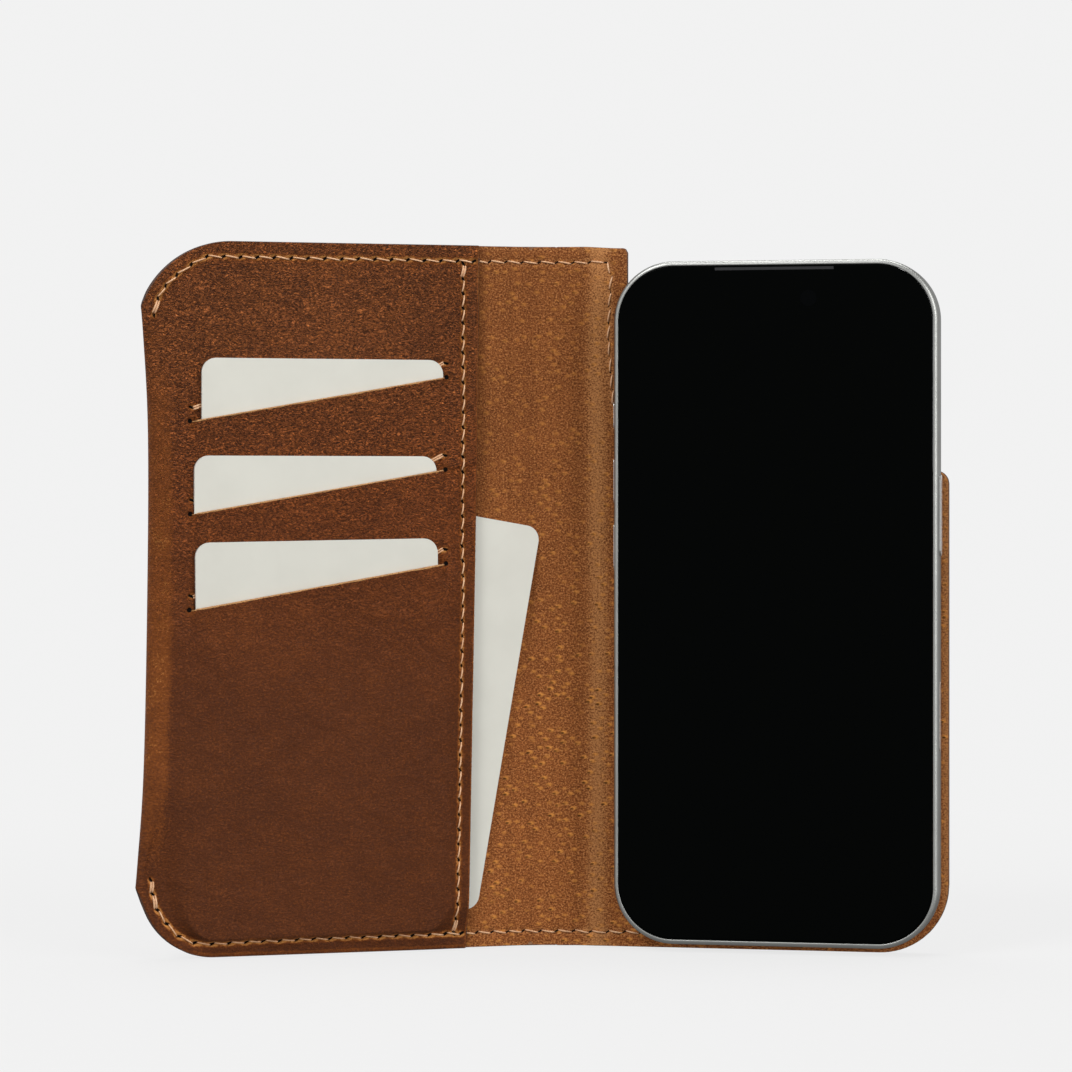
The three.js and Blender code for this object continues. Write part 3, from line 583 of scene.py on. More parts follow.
class Sheet:
    """A sheet of leather: a dense outer face, closed with a thickness and rounded edges."""

    def __init__(self):
        self.points = np.zeros((0, 3))
        self.uv = np.zeros((0, 2))
        self.masks = {}
        self.faces = []

    def add_grid(self, points, uv, first_row=None, cells=None, **masks):
        """Adds rows of points. first_row gives vertices to share with the grid below, or -1 for new ones."""
        rows, columns = points.shape[:2]
        ids = np.arange(rows * columns).reshape(rows, columns) + len(self.points)
        self.points = np.concatenate([self.points, points.reshape(-1, 3)])
        self.uv = np.concatenate([self.uv, uv.reshape(-1, 2)])
        for name, values in masks.items():
            before = self.masks.get(name, np.zeros(0))
            self.masks[name] = np.concatenate([before, np.asarray(values, float).ravel()])
        if first_row is not None:
            ids[0] = np.where(first_row >= 0, first_row, ids[0])
        quads = np.stack([ids[:-1, :-1], ids[:-1, 1:], ids[1:, 1:], ids[1:, :-1]], -1)
        if cells is not None:
            quads = quads[cells]
        self.faces.append(quads.reshape(-1, 4))
        return ids

    def build(self, name, thickness, materials, bulge, plain=None):
        """Closes the sheet. plain marks vertices whose edge is a straight cut, where two halves meet."""
        faces = np.concatenate(self.faces)
        used = np.unique(faces)
        renumber = np.full(len(self.points), -1)
        renumber[used] = np.arange(len(used))
        faces = renumber[faces]
        face_count, count = len(faces), len(used)
        outer = self.points[used]
        masks = {k: v[used] for k, v in self.masks.items()}
        flat = np.zeros(count, bool) if plain is None else plain[used]
        normals = vertex_normals(outer, faces)
        inner = outer - normals * masks.pop("thick", np.full(count, thickness))[:, None]
        rim = open_edges(faces, count)
        rim_ids = np.unique(rim)
        swell = away_from_sheet(outer, normals, rim) * np.where(flat, 0.0, bulge)[:, None]
        everyone = np.arange(count)
        points, sources, layers = [outer, inner], [everyone, everyone], [everyone]
        total = 2 * count
        for share in EDGE_RINGS:
            ring = mix(outer, inner, share) + swell * math.sin(math.pi * share) ** 0.7
            ids = np.full(count, -1)
            ids[rim_ids] = np.arange(len(rim_ids)) + total
            total += len(rim_ids)
            points.append(ring[rim_ids])
            sources.append(rim_ids)
            layers.append(ids)
        layers.append(everyone + count)
        source = np.concatenate(sources)
        a, b = rim.T
        walls = [np.stack([up[b], up[a], low[a], low[b]], -1) for up, low in zip(layers, layers[1:])]
        faces = np.concatenate([faces, faces[:, ::-1] + count, *walls])
        raw = masks.get("raw", np.zeros(count)) > 0.7
        wall_kind = np.where(raw[a] & raw[b] & (len(materials) > RAW_CUT), RAW_CUT, EDGE)
        kinds = np.concatenate([np.repeat([GRAIN, FLESH_SIDE], face_count), np.tile(wall_kind, len(walls))])
        masks = {k: v[source] for k, v in masks.items()}
        obj = make_mesh(name, np.concatenate(points), faces, materials, kinds, self.uv[used][source], masks)
        on_cut = np.zeros(total, bool)
        cut = rim_ids[flat[rim_ids]]
        on_cut[cut] = True
        on_cut[cut + count] = True
        sharpen(obj.data, on_cut)
        return obj


def sharpen(mesh, marked):
    """Keeps the shading apart along edges between marked vertices."""
    ends = np.zeros(len(mesh.edges) * 2, np.int32)
    mesh.edges.foreach_get("vertices", ends)
    ends = ends.reshape(-1, 2)
    attribute = mesh.attributes.new("sharp_edge", "BOOLEAN", "EDGE")
    attribute.data.foreach_set("value", marked[ends[:, 0]] & marked[ends[:, 1]])


def add_object(name, data):
    obj = bpy.data.objects.new(name, data)
    bpy.context.scene.collection.objects.link(obj)
    return obj


def make_mesh(name, points, faces, materials, kinds=None, uv=None, masks=None):
    """A smooth-shaded object from points in millimetres. Its UVs are in centimetres."""
    mesh = bpy.data.meshes.new(name)
    faces = faces if isinstance(faces, list) else faces.tolist()
    mesh.from_pydata((np.asarray(points) * MM).tolist(), [], faces)
    for material in materials:
        mesh.materials.append(material)
    if kinds is not None:
        mesh.polygons.foreach_set("material_index", np.asarray(kinds, np.int32))
    mesh.polygons.foreach_set("use_smooth", np.full(len(mesh.polygons), True))
    if uv is not None:
        layer = mesh.uv_layers.new(name="UVMap")
        loops = np.zeros(len(mesh.loops), np.int32)
        mesh.loops.foreach_get("vertex_index", loops)
        layer.data.foreach_set("uv", (np.asarray(uv)[loops] / 10).astype(np.float32).ravel())
    for key, values in (masks or {}).items():
        attribute = mesh.attributes.new(key, "FLOAT", "POINT")
        attribute.data.foreach_set("value", values.astype(np.float32))
    mesh.update()
    return add_object(name, mesh)


# ---------------------------------------------------------------- materials

# linear colours
LEATHER_DEEP = (0.034, 0.0085, 0.0025)
LEATHER_DARK = (0.115, 0.0300, 0.0075)
LEATHER_MID = (0.142, 0.0378, 0.0092)
LEATHER_WARM = (0.205, 0.0540, 0.0095)
LEATHER_SPECK = (0.330, 0.0980, 0.0190)
# for stretched leather, and for the painted highlight along the card panel's free edge
LEATHER_PULLED_AND_LIT = (0.300, 0.0830, 0.0125)
LEATHER_BRIGHT = (0.640, 0.2700, 0.0700)
RAW_LIGHT = (0.640, 0.340, 0.130)
LINING_PIT = (0.040, 0.011, 0.004)
LINING_DEEP = (0.088, 0.0235, 0.0060)
LINING_DARK = (0.180, 0.0520, 0.0130)
LINING_MID = (0.245, 0.0740, 0.0185)
LINING_LIGHT = (0.450, 0.170, 0.0490)
# for worn nap, and for the painted highlight on the ridge by the phone
LINING_WORN_AND_LIT = (0.540, 0.245, 0.0880)
LINING_ORANGE = (0.700, 0.280, 0.0600)


def set_ramp(ramp, stops):
    """Sets a colour ramp's (place, colour or grey) stops."""
    elements = ramp.elements
    while len(elements) < len(stops):
        elements.new(0.5)
    for element, (at, color) in zip(elements, stops):
        element.position = at
        element.color = (*color, 1) if isinstance(color, tuple) else (color, color, color, 1)


class Look:
    """A short way to write a material's nodes."""

    def __init__(self, name, uv=True):
        self.material = bpy.data.materials.new(name)
        self.material.use_nodes = True
        self.tree = self.material.node_tree
        self.shader = self.tree.nodes["Principled BSDF"]
        place = self.tree.nodes.new("ShaderNodeTexCoord")
        if uv:
            self.place = place.outputs["UV"]  # in centimetres
        else:
            self.place = self.node("ShaderNodeMapping", Vector=place.outputs["Object"], Scale=(100,) * 3)

    def node(self, kind, output=0, props=None, **inputs):
        """Adds a node. An input is given by its name, or by its number after an underscore."""
        made = self.tree.nodes.new(kind)
        for key, value in (props or {}).items():
            setattr(made, key, value)
        for key, value in inputs.items():
            socket = made.inputs[int(key[1:])] if key[0] == "_" else made.inputs[key.replace("_", " ")]
            self.put(socket, value)
        return made.outputs[output]

    def put(self, socket, value):
        if isinstance(value, bpy.types.NodeSocket):
            self.tree.links.new(value, socket)
        else:
            socket.default_value = value

    def stretch(self, scale, turn=0.0, source=None):
        rotation = (0, 0, math.radians(turn))
        return self.node("ShaderNodeMapping", Vector=source or self.place, Scale=scale, Rotation=rotation)

    def noise(self, scale, detail=4.0, rough=0.5, source=None, distortion=0.0):
        inputs = {"Scale": scale, "Detail": detail, "Roughness": rough, "Distortion": distortion}
        return self.node("ShaderNodeTexNoise", Vector=source or self.place, **inputs)

    def cells(self, scale, source, randomness=1.0):
        return self.node("ShaderNodeTexVoronoi", Vector=source, Scale=scale, Randomness=randomness)

    def ramp(self, value, *stops):
        made = self.tree.nodes.new("ShaderNodeValToRGB")
        self.put(made.inputs[0], value)
        set_ramp(made.color_ramp, stops)
        return made.outputs[0]

    def range(self, value, low, high, to_low=0.0, to_high=1.0, soft=True):
        made = self.tree.nodes.new("ShaderNodeMapRange")
        made.interpolation_type = "SMOOTHSTEP" if soft else "LINEAR"
        for socket, v in zip(made.inputs, (value, low, high, to_low, to_high)):
            self.put(socket, v)
        return made.outputs[0]

    def math(self, operation, a, b=0.0):
        return self.node("ShaderNodeMath", 0, {"operation": operation}, _0=a, _1=b)

    def times(self, first, *others):
        for other in others:
            first = self.math("MULTIPLY", first, other)
        return first

    def plus(self, first, *others):
        for other in others:
            first = self.math("ADD", first, other)
        return first

    def minus(self, a, b):
        return self.math("SUBTRACT", a, b)

    def sway(self, value, amount):
        """A noise of mean 0.5 turned into one of mean 0."""
        return self.times(self.minus(value, 0.5), amount)

    def vector(self, operation, output=0, **inputs):
        return self.node("ShaderNodeVectorMath", output, {"operation": operation}, **inputs)

    def blend(self, share, a, b, kind="MIX"):
        made = self.tree.nodes.new("ShaderNodeMix")
        made.data_type = "RGBA"
        made.blend_type = kind
        made.clamp_factor = True
        self.put(made.inputs[0], share)
        for socket, v in ((made.inputs[6], a), (made.inputs[7], b)):
            self.put(socket, v if isinstance(v, bpy.types.NodeSocket) else (*v, 1))
        return made.outputs[2]

    def tint(self, base, color, value, low, high, most=1.0):
        """Blends a colour in as a value runs from low to high."""
        return self.blend(self.range(value, low, high, 0.0, most), base, color)

    def lighten(self, base, red, green, blue):
        tone = self.node("ShaderNodeCombineColor", Red=red, Green=green, Blue=blue)
        return self.blend(1.0, base, tone, "MULTIPLY")

    def mask(self, name):
        """One of the sheet's own vertex masks."""
        return self.node("ShaderNodeAttribute", 2, {"attribute_name": name})

    def height(self):
        """Height on a sheet, in centimetres."""
        return self.node("ShaderNodeSeparateXYZ", 1, Vector=self.place)

    def bump(self, height, distance, strength=1.0):
        return self.node("ShaderNodeBump", Height=height, Distance=distance, Strength=strength)

    def done(self, color, roughness, normal, **fixed):
        inputs = {"Base Color": color, "Roughness": roughness, "Normal": normal, **fixed}
        for key, value in inputs.items():
            self.put(self.shader.inputs[key.replace("_", " ")], value)
        return self.material


def leather_look():
    """Waxy pull-up cowhide: dark brown with a wrinkled grain, more orange where it is bent or stretched.
    Painted light: lighter and paler towards the top, painted shade in the wrinkles and stitch holes, and a
    painted highlight along the card panel's free edge.
    """
    k = Look("waxy_leather")
    height = k.height()
    drift = k.node("ShaderNodeTexNoise", 1, Vector=k.place, Scale=2.6)
    bent = k.vector("ADD", _0=k.place, _1=k.vector("SCALE", _0=drift, Scale=0.22))
    wrinkle = k.noise(1.0, 2.0, 0.55, k.stretch((9.0, 21.0, 9.0), 16.0, bent), 0.8)
    cross = k.noise(1.0, 2.0, 0.55, k.stretch((10.0, 18.0, 9.0), -32.0, bent), 0.6)
    crease_and_shadow = k.range(k.math("ABSOLUTE", k.minus(wrinkle, 0.5)), 0.0, 0.075, 1.0, 0.0)
    second = k.range(k.math("ABSOLUTE", k.minus(cross, 0.5)), 0.0, 0.05, 1.0, 0.0)
    pores = k.range(k.cells(17.0, bent), 0.02, 0.30, 1.0, 0.0)
    clouds = k.noise(0.42, 4.0, 0.6)
    patches = k.noise(1.7, 5.0, 0.62)
    speckle = k.noise(19.0, 4.0, 0.7)
    amount = k.range(k.noise(0.35, 2.0, 0.5), 0.30, 0.60, 0.70, 1.0)
    high = k.range(height, 5.0, 11.5, 0.22, 1.0)
    creasing = k.math("MAXIMUM", crease_and_shadow, k.times(second, 0.6))
    creasing = k.times(creasing, amount, high)
    grain = k.noise(1.0, 3.0, 0.65, k.stretch((17.0, 36.0, 17.0), 12.0, bent), 0.6)
    base = k.ramp(clouds, (0.3, LEATHER_DARK), (0.7, LEATHER_MID))
    base = k.tint(base, LEATHER_WARM, patches, 0.42, 0.72, 0.26)
    base = k.tint(base, LEATHER_SPECK, speckle, 0.45, 0.80, 0.60)
    base = k.tint(base, LEATHER_DEEP, speckle, 0.42, 0.22, 0.45)
    base = k.blend(k.times(pores, high, 0.35), base, LEATHER_DEEP)
    swing = k.times(k.range(grain, 0.34, 0.66, -0.66, 0.66), k.plus(high, 0.15))
    # painted light: the leather is made lighter towards the top, and paler there as a painted sheen; swing
    # carries the grain's own tone
    lit = k.times(k.range(height, 4.8, 11.7, 0.79, 2.04), k.plus(swing, 1.0))
    green = k.times(lit, k.range(height, 9.0, 14.0, 1.0, 1.12))
    blue = k.times(lit, k.range(height, 9.0, 14.0, 1.0, 1.26))
    base = k.lighten(base, lit, green, blue)
    # the wrinkles' grooves are darkened: partly the grain's own tone, partly painted shade
    base = k.blend(k.times(creasing, 0.80), base, LEATHER_DEEP)
    mottle = k.times(k.range(speckle, 0.50, 0.70, 0.0, 0.50), k.minus(1.0, high))
    base = k.blend(k.times(mottle, k.range(patches, 0.40, 0.62)), base, LEATHER_WARM)
    streak = k.noise(1.0, 2.0, 0.5, k.stretch((1.1, 26.0, 1.0), 24.0))
    base = k.tint(base, LEATHER_SPECK, streak, 0.70, 0.80, 0.2)
    # the mask lightens bent and stretched places, and paints a highlight along the card panel's free edge
    wear = k.plus(k.mask("wear"), k.plus(k.sway(patches, 0.6), k.sway(speckle, 1.1)))
    pulled_and_lit = k.ramp(wear, (0.70, LEATHER_PULLED_AND_LIT), (1.05, LEATHER_BRIGHT))
    base = k.blend(k.times(k.range(wear, 0.15, 1.0), 0.9), base, pulled_and_lit)
    raw = k.plus(k.mask("raw"), k.sway(speckle, 0.9), k.sway(patches, 1.5))
    base = k.tint(base, RAW_LIGHT, raw, 0.66, 0.80)
    hole = k.mask("hole")
    # painted shade: the stitch holes and the slits' stop holes are painted near black
    base = k.tint(base, (0.003, 0.002, 0.0015), hole, 0.81, 0.86)
    rough = k.range(speckle, 0.2, 0.8, 0.46, 0.62, soft=False)
    rough = k.plus(rough, k.times(creasing, 0.15), k.range(hole, 0.80, 0.90, 0.0, 0.3))
    relief = k.plus(
        k.times(creasing, -1.0),
        k.times(pores, -0.25),
        k.times(k.noise(45.0, 3.0, 0.6), 0.35),
        k.times(swing, 0.8),
        k.range(hole, 0.78, 0.90, 0.0, -3.0),
    )
    return k.done(base, rough, k.bump(relief, 0.00020), Specular_IOR_Level=0.15)


PORE_SPACING = (4.0, 6.6, 4.4)  # pores to the centimetre


def lining_look():
    """Suede-like pigskin: tan, with slanted groups of pores and a soft nap. Painted light: lighter towards
    the bottom, painted shade in the creases, a painted shadow beside the card panel's edge, a painted
    highlight on the ridge by the phone and painted shade in the stitch holes.
    """
    k = Look("pigskin_lining")
    height = k.height()
    clouds = k.noise(0.7, 4.0, 0.6)
    blots = k.noise(3.2, 4.0, 0.65)
    nap = k.noise(25.0, 4.0, 0.75)
    fibres = k.noise(1.0, 3.0, 0.6, k.stretch((16.0, 44.0, 20.0), 38.0))
    low = k.range(height, 4.5, 11.0, 1.0, 0.50)
    dash = k.range(k.cells(1.0, k.stretch(PORE_SPACING, -30.0), 0.55), 0.12, 0.42, 1.0, 0.0)
    beside = k.vector("ADD", _0=k.place, _1=(0.035, 0.02, 0.0))
    pit = k.range(k.cells(1.0, k.stretch(PORE_SPACING, -30.0, beside), 0.55), 0.06, 0.24, 1.0, 0.0)
    groups = k.range(k.noise(1.5, 3.0, 0.6), 0.32, 0.56, 0.25, 1.0)
    dash, pit = k.times(dash, groups, low), k.times(pit, groups, low)
    base = k.ramp(clouds, (0.3, LINING_DARK), (0.7, LINING_MID))
    base = k.tint(base, LINING_DEEP, blots, 0.45, 0.70, 0.35)
    base = k.tint(base, LINING_ORANGE, blots, 0.42, 0.25, 0.12)
    base = k.tint(base, LINING_LIGHT, nap, 0.48, 0.62, 0.80)
    base = k.tint(base, LINING_DEEP, nap, 0.46, 0.34, 0.85)
    base = k.tint(base, LINING_DEEP, fibres, 0.53, 0.64, 0.65)
    base = k.tint(base, LINING_LIGHT, fibres, 0.47, 0.36, 0.45)
    lit = k.range(height, 2.0, 12.0, 1.18, 0.91)
    base = k.lighten(base, lit, lit, lit)
    # lighter where the nap is worn, and along the ridge by the phone as a painted highlight
    wear = k.plus(k.mask("wear"), k.sway(nap, 2.4), k.times(k.minus(0.5, fibres), 1.6))
    base = k.tint(base, LINING_WORN_AND_LIT, wear, 0.15, 1.1, 0.76)
    base = k.tint(base, LINING_DEEP, nap, 0.50, 0.38, 0.48)
    base = k.tint(base, LINING_WORN_AND_LIT, nap, 0.51, 0.63, 0.34)
    base = k.blend(k.times(dash, 0.80), base, LINING_ORANGE)
    base = k.blend(k.times(pit, 0.85), base, LINING_PIT)
    # painted shade in the creases and in the card panel's shadow
    base = k.blend(k.times(k.mask("crease_and_shadow"), 0.5), base, LINING_DEEP)
    # painted shade: the stitch holes are painted dark
    base = k.tint(base, (0.010, 0.005, 0.003), k.mask("hole"), 0.85, 0.90)
    relief = k.plus(k.times(nap, 0.8), k.times(fibres, 0.5), k.times(dash, 0.5), k.times(pit, -1.6))
    return k.done(
        base,
        k.range(nap, 0.3, 0.7, 0.82, 0.96),
        k.bump(relief, 0.00022, 0.9),
        Specular_IOR_Level=0.12,
        Sheen_Weight=0.08,
        Sheen_Roughness=0.5,
        Sheen_Tint=(0.9, 0.50, 0.25, 1),
    )


def edge_look(name, dark, light, rough_low):
    """A cut leather edge."""
    k = Look(name)
    fibre = k.noise(1.0, 4.0, 0.65, k.stretch((38.0, 38.0, 38.0)))
    blot = k.noise(3.0, 3.0, 0.6)
    base = k.blend(k.range(fibre, 0.3, 0.7), dark, light)
    base = k.tint(base, tuple(c * 0.6 for c in dark), blot, 0.4, 0.75, 0.4)
    return k.done(base, k.range(fibre, 0.2, 0.8, rough_low, rough_low + 0.15), k.bump(fibre, 0.00012, 0.8))


def flesh_look():
    """The rough inner side of leather and lining."""
    k = Look("leather_flesh_side")
    fibre = k.noise(30.0, 5.0, 0.7)
    base = k.blend(k.range(fibre, 0.3, 0.7), (0.16, 0.07, 0.03), (0.30, 0.15, 0.07))
    return k.done(base, 0.92, k.bump(fibre, 0.0001, 0.8))


def thread_look():
    """Waxed polyester thread."""
    k = Look("waxed_thread")
    ply = k.noise(1.0, 3.0, 0.6, k.stretch((30.0, 90.0, 30.0), 30.0))
    tone = k.noise(2.5, 3.0, 0.5)
    base = k.ramp(tone, (0.3, (0.66, 0.360, 0.190)), (0.7, (0.82, 0.52, 0.31)))
    base = k.tint(base, (0.42, 0.190, 0.085), ply, 0.5, 0.75, 0.5)
    return k.done(base, k.range(ply, 0.3, 0.7, 0.5, 0.7), k.bump(ply, 0.00005, 0.7), Specular_IOR_Level=0.35)


def card_look():
    """Blank card plastic: warm off-white, finely textured, with faint handling marks."""
    k = Look("card_plastic", uv=False)
    haze = k.noise(0.9, 3.0, 0.55)
    dots = k.noise(60.0, 3.0, 0.6)
    marks = k.noise(9.0, 2.0, 0.5)
    base = k.ramp(haze, (0.3, (0.632, 0.622, 0.555)), (0.7, (0.670, 0.660, 0.590)))
    base = k.tint(base, (0.52, 0.50, 0.43), marks, 0.72, 0.82, 0.12)
    rough = k.range(dots, 0.3, 0.7, 0.38, 0.50, soft=False)
    return k.done(base, rough, k.bump(dots, 0.00002, 0.5), Specular_IOR_Level=0.45)


def metal_look(name, color, rough, grazing=1.0):
    """Bead-blasted metal. grazing below 1 keeps its sides darker where they are seen at a slant."""
    k = Look(name, uv=False)
    beads = k.noise(90.0, 3.0, 0.6)
    haze = k.noise(1.2, 3.0, 0.5)
    dim = tuple(c * 0.9 for c in color)
    base = k.ramp(haze, (0.35, dim), (0.65, color))
    base = k.tint(base, tuple(min(1, c * 1.15) for c in color), beads, 0.45, 0.75, 0.12)
    return k.done(base, k.range(beads, 0.3, 0.7, rough - 0.05, rough + 0.07), k.bump(beads, 0.00001, 0.1),
                  Metallic=1.0, Specular_Tint=(grazing, grazing, grazing, 1))


def glass_look(name, color, rough, spec=0.5):
    """Dark cover glass with the faintest wipe marks in its gloss."""
    k = Look(name, uv=False)
    wipe = k.noise(1.0, 3.0, 0.55, k.stretch((0.6, 0.6, 1.4), 20.0))
    dust = k.noise(45.0, 2.0, 0.5)
    base = k.blend(k.range(dust, 0.70, 0.80, 0.0, 0.5), color, tuple(c * 1.6 + 0.001 for c in color))
    return k.done(base, k.range(wipe, 0.3, 0.7, rough, rough + 0.06), k.bump(dust, 0.000002, 0.2),
                  Specular_IOR_Level=spec)


def plain_look(name, low, high, rough, scale=12.0, depth=0.00005, spec=0.4):
    """Moulded or pressed material with a fine mottle."""
    k = Look(name, uv=False)
    mottle = k.noise(scale, 4.0, 0.6)
    wide = k.noise(1.4, 3.0, 0.5)
    base = k.blend(k.range(mottle, 0.3, 0.7), low, high)
    base = k.tint(base, low, wide, 0.4, 0.7, 0.3)
    return k.done(base, k.range(mottle, 0.3, 0.7, rough - 0.06, rough + 0.06), k.bump(mottle, depth, 0.6),
                  Specular_IOR_Level=spec)


def fabric_look():
    """Thin woven pocket lining."""
    k = Look("pocket_weave", uv=False)
    threads = [
        k.node("ShaderNodeTexWave", 1, {"bands_direction": way}, Vector=k.place, Scale=14.0) for way in "XZ"
    ]
    weave = k.math("MAXIMUM", *threads)
    base = k.blend(weave, (0.012, 0.008, 0.006), (0.055, 0.038, 0.028))
    return k.done(base, 0.85, k.bump(weave, 0.00006, 0.7))


LEATHER = leather_look()
LINING = lining_look()
PAINTED_EDGE = edge_look("painted_edge", (0.030, 0.0105, 0.0055), (0.062, 0.021, 0.0095), 0.45)
RAW_EDGE = edge_look("raw_edge", (0.26, 0.105, 0.034), (0.60, 0.31, 0.12), 0.7)
LINING_EDGE = edge_look("lining_edge", (0.10, 0.036, 0.014), (0.20, 0.078, 0.028), 0.7)
FLESH = flesh_look()
THREAD = thread_look()
CARD = card_look()
PHONE_METAL = metal_look("blasted_metal", (0.40, 0.405, 0.388), 0.42, 0.42)
BUTTON_METAL = metal_look("button_metal", (0.66, 0.66, 0.65), 0.25)
MAGNET_METAL = metal_look("nickel", (0.62, 0.61, 0.58), 0.3)
STEEL = metal_look("shield_steel", (0.42, 0.42, 0.43), 0.4)
SCREEN = glass_look("screen_glass", (0.0010, 0.0013, 0.0012), 0.03, 0.012)
LENS = glass_look("lens_glass", (0.004, 0.004, 0.006), 0.04, 0.10)
CAMERA_EYE = glass_look("camera_eye", (0.0013, 0.0016, 0.0018), 0.03, 0.015)
BACK_GLASS = plain_look("frosted_back_glass", (0.60, 0.595, 0.565), (0.66, 0.65, 0.62), 0.34, 40.0, 0.00001)
DARK_TRIM = plain_look("dark_trim", (0.006, 0.006, 0.007), (0.016, 0.016, 0.018), 0.5, 30.0, 0.00001)
BOARD = plain_look("grey_board", (0.28, 0.25, 0.20), (0.40, 0.37, 0.31), 0.88, 20.0, 0.00008, 0.2)
FLASH = plain_look("flash_lens", (0.75, 0.69, 0.50), (0.85, 0.80, 0.63), 0.3, 8.0, 0.00003)
WEAVE = fabric_look()

# ---------------------------------------------------------------- leather and lining sheets

LEFT_CREASE_DEPTH = 0.34
RIGHT_CREASE_DEPTH = 0.22
GROOVE_DEPTH = 0.45  # outside, between the boards
RIDGE_HEIGHT = 0.12  # beside the right crease the lining stands up a little


def crease_wave(y):
    """The creases and the lighter ridge beside them, partly worn and partly a painted highlight, wander a
    little with height.
    """
    return 0.35 * np.sin(y / 17.0 + 1.0) + 0.2 * np.sin(y / 6.3)


def lining_z(left, right, y, inside):
    """The lining's face: flat over the boards, sunk along the creases and pressed at the edges.

    left and right are a point's places across, from the left and from the right hinge.
    """
    z = -0.22 * (1 - smooth(0.2, EDGE_BAND, inside))
    wave = crease_wave(y)
    z = z - LEFT_CREASE_DEPTH * bell(left - 0.6 + 0.5 * wave, 1.7)
    z = z - RIGHT_CREASE_DEPTH * bell(right + 0.2 + 0.4 * wave, 0.9)
    z = z + RIDGE_HEIGHT * bell(right - 3.3 + 0.5 * wave, 1.5)
    return z - 0.06 * (1 + ripple(left, y, 7.0, 3.0))


def outer_z(left, right, y, inside):
    """The outer skin's grain side: soft steps over the boards' edges."""
    z = LEATHER_BACK + 0.85 * (1 - smooth(0.3, EDGE_BAND + 1.2, inside))
    z = z + GROOVE_DEPTH * bell(left - 0.5, 1.5)
    z = z + GROOVE_DEPTH * bell(right, 1.5)
    return z + 0.06 * ripple(left, y, 11.0, 5.0)


def flat_x(ref, y):
    """Columns of the cover: they follow the turned edge at the left and run straight further in."""
    start = fold_x(y) + fold_radius(y)
    t = np.clip((ref - FLAT_START_X) / (FLAT_JOIN_X - FLAT_START_X), 0, 1)
    return np.where(ref < FLAT_JOIN_X, mix(start, FLAT_JOIN_X, t), ref)


def panel_column_x(ref, y):
    """Columns of the card panel: as the cover's, and drawn to its slanted free edge at the right."""
    pull_right = np.clip((ref - FLAT_JOIN_X) / (PANEL_EDGE_MIDDLE_X - FLAT_JOIN_X), 0, 1)
    return flat_x(ref, y) + (panel_edge_x(y) - PANEL_EDGE_MIDDLE_X) * pull_right


ROW_STEP = 0.62
FINE_STEP = 0.22
MIN_STEP = 0.10


def row_shares(height, fine_low, fine_high, extra=()):
    """Shares of the way up a strip, closer together at its ends and round extra heights."""
    stops = set(np.round(steps(0.0, (height, ROW_STEP)), 4))
    for low, high in [(0, fine_low), (height - fine_high, height), *extra]:
        if high > low:
            stops.update(np.round(steps(low, (high, FINE_STEP)), 4))
    merged = []
    for v in sorted(stops):
        if not merged or v - merged[-1] > MIN_STEP or v in (0.0, round(height, 4)):
            merged.append(v)
    return np.array(merged) / height


class CoverColumns:
    """Columns from the spine's middle, behind the cover, round the turned edge and over the panel."""

    def __init__(self):
        back = steps(LEFT_END, (-1.5, 0.35), (FLAT_JOIN_X, 0.55), (FLAT_START_X, 0.5))
        turn = np.linspace(-90, 90, 19)[1:-1]
        front = steps(FLAT_START_X, (-19.5, 0.31), (PANEL_EDGE_MIDDLE_X, FINE_STEP))
        zone = np.repeat([0, 1, 2], [len(back), len(turn), len(front)])
        self.is_turn, self.is_front = zone == 1, zone == 2
        self.mark = np.concatenate([back, turn, front])
        self.angle = np.radians(np.where(self.is_turn, self.mark, 0))

    def pick(self, back, turn, front):
        return np.where(self.is_front, front, np.where(self.is_turn, turn, back))

    def x(self, y):
        turned = fold_x(y) + fold_radius(y) * (1 - np.cos(self.angle))
        return self.pick(flat_x(self.mark, y), turned, panel_column_x(self.mark, y))

    def settle(self, line, start, rounds):
        """Heights at which the columns, which lean with height, meet a line."""
        y = np.full(len(self.mark), start)
        for _ in range(rounds):
            y = line(self.x(y))
        return y

    def slit_line(self, slit):
        def line(x):
            return slit_y(slit, np.where(self.is_front, x, FLAT_START_X))

        return self.settle(line, (slit[1] + slit[3]) / 2, 3)


def wear_marks(x, y, hole, line):
    """Where the panel's leather is stretched or bent, 0 to 1, with a painted highlight along its free edge.
    """
    from_fold = x - fold_x(y)
    fold = 0.62 * (1 - smooth(3.6, 6.4, from_fold)) * (0.30 + 0.70 * fold_open(y))
    inside = cover_edge_distance(x, y)
    outside = 0.35 * (inside < 3.2)
    halo = (0.92 + outside) * smooth(0.30, 0.85, line) * (0.62 + 0.38 * smooth(0.15, 0.7, hole))
    rim = 0.32 * (1 - smooth(0.5, 1.1, inside)) + 0.4 * bell(inside - LEDGE, 0.25) * (y < 2) * (x > -76)
    # painted highlight along the panel's rounded free edge
    free = 0.75 * (1 - smooth(0.1, 0.6, panel_edge_x(y) - x))
    ends = np.zeros(x.shape)
    for slit in SLITS:
        for ex, ey in (slit[:2], slit[2:]):
            ends = np.maximum(ends, 0.55 * (1 - smooth(0.3, 2.6, np.hypot(x - ex, y - ey))))
    return np.clip(np.maximum.reduce([fold, halo, free, ends, rim]), 0, 1.1)


LIP_REACH = 0.45


def lip_mask(tier, x, y):
    """1 on the cut edge of the lip under a slit, falling to 0 a little way down its front."""
    if tier == 0:
        return np.zeros(x.shape)
    slit = SLITS[tier - 1]
    gap = np.clip(slit_y(slit, x) - y, 0, None)
    along = smooth(slit[0] - 0.2, slit[0] + 0.2, x) * (1 - smooth(slit[2] - 0.2, slit[2] + 0.2, x))
    return (1 - np.clip(gap / LIP_REACH, 0, 1)) * along


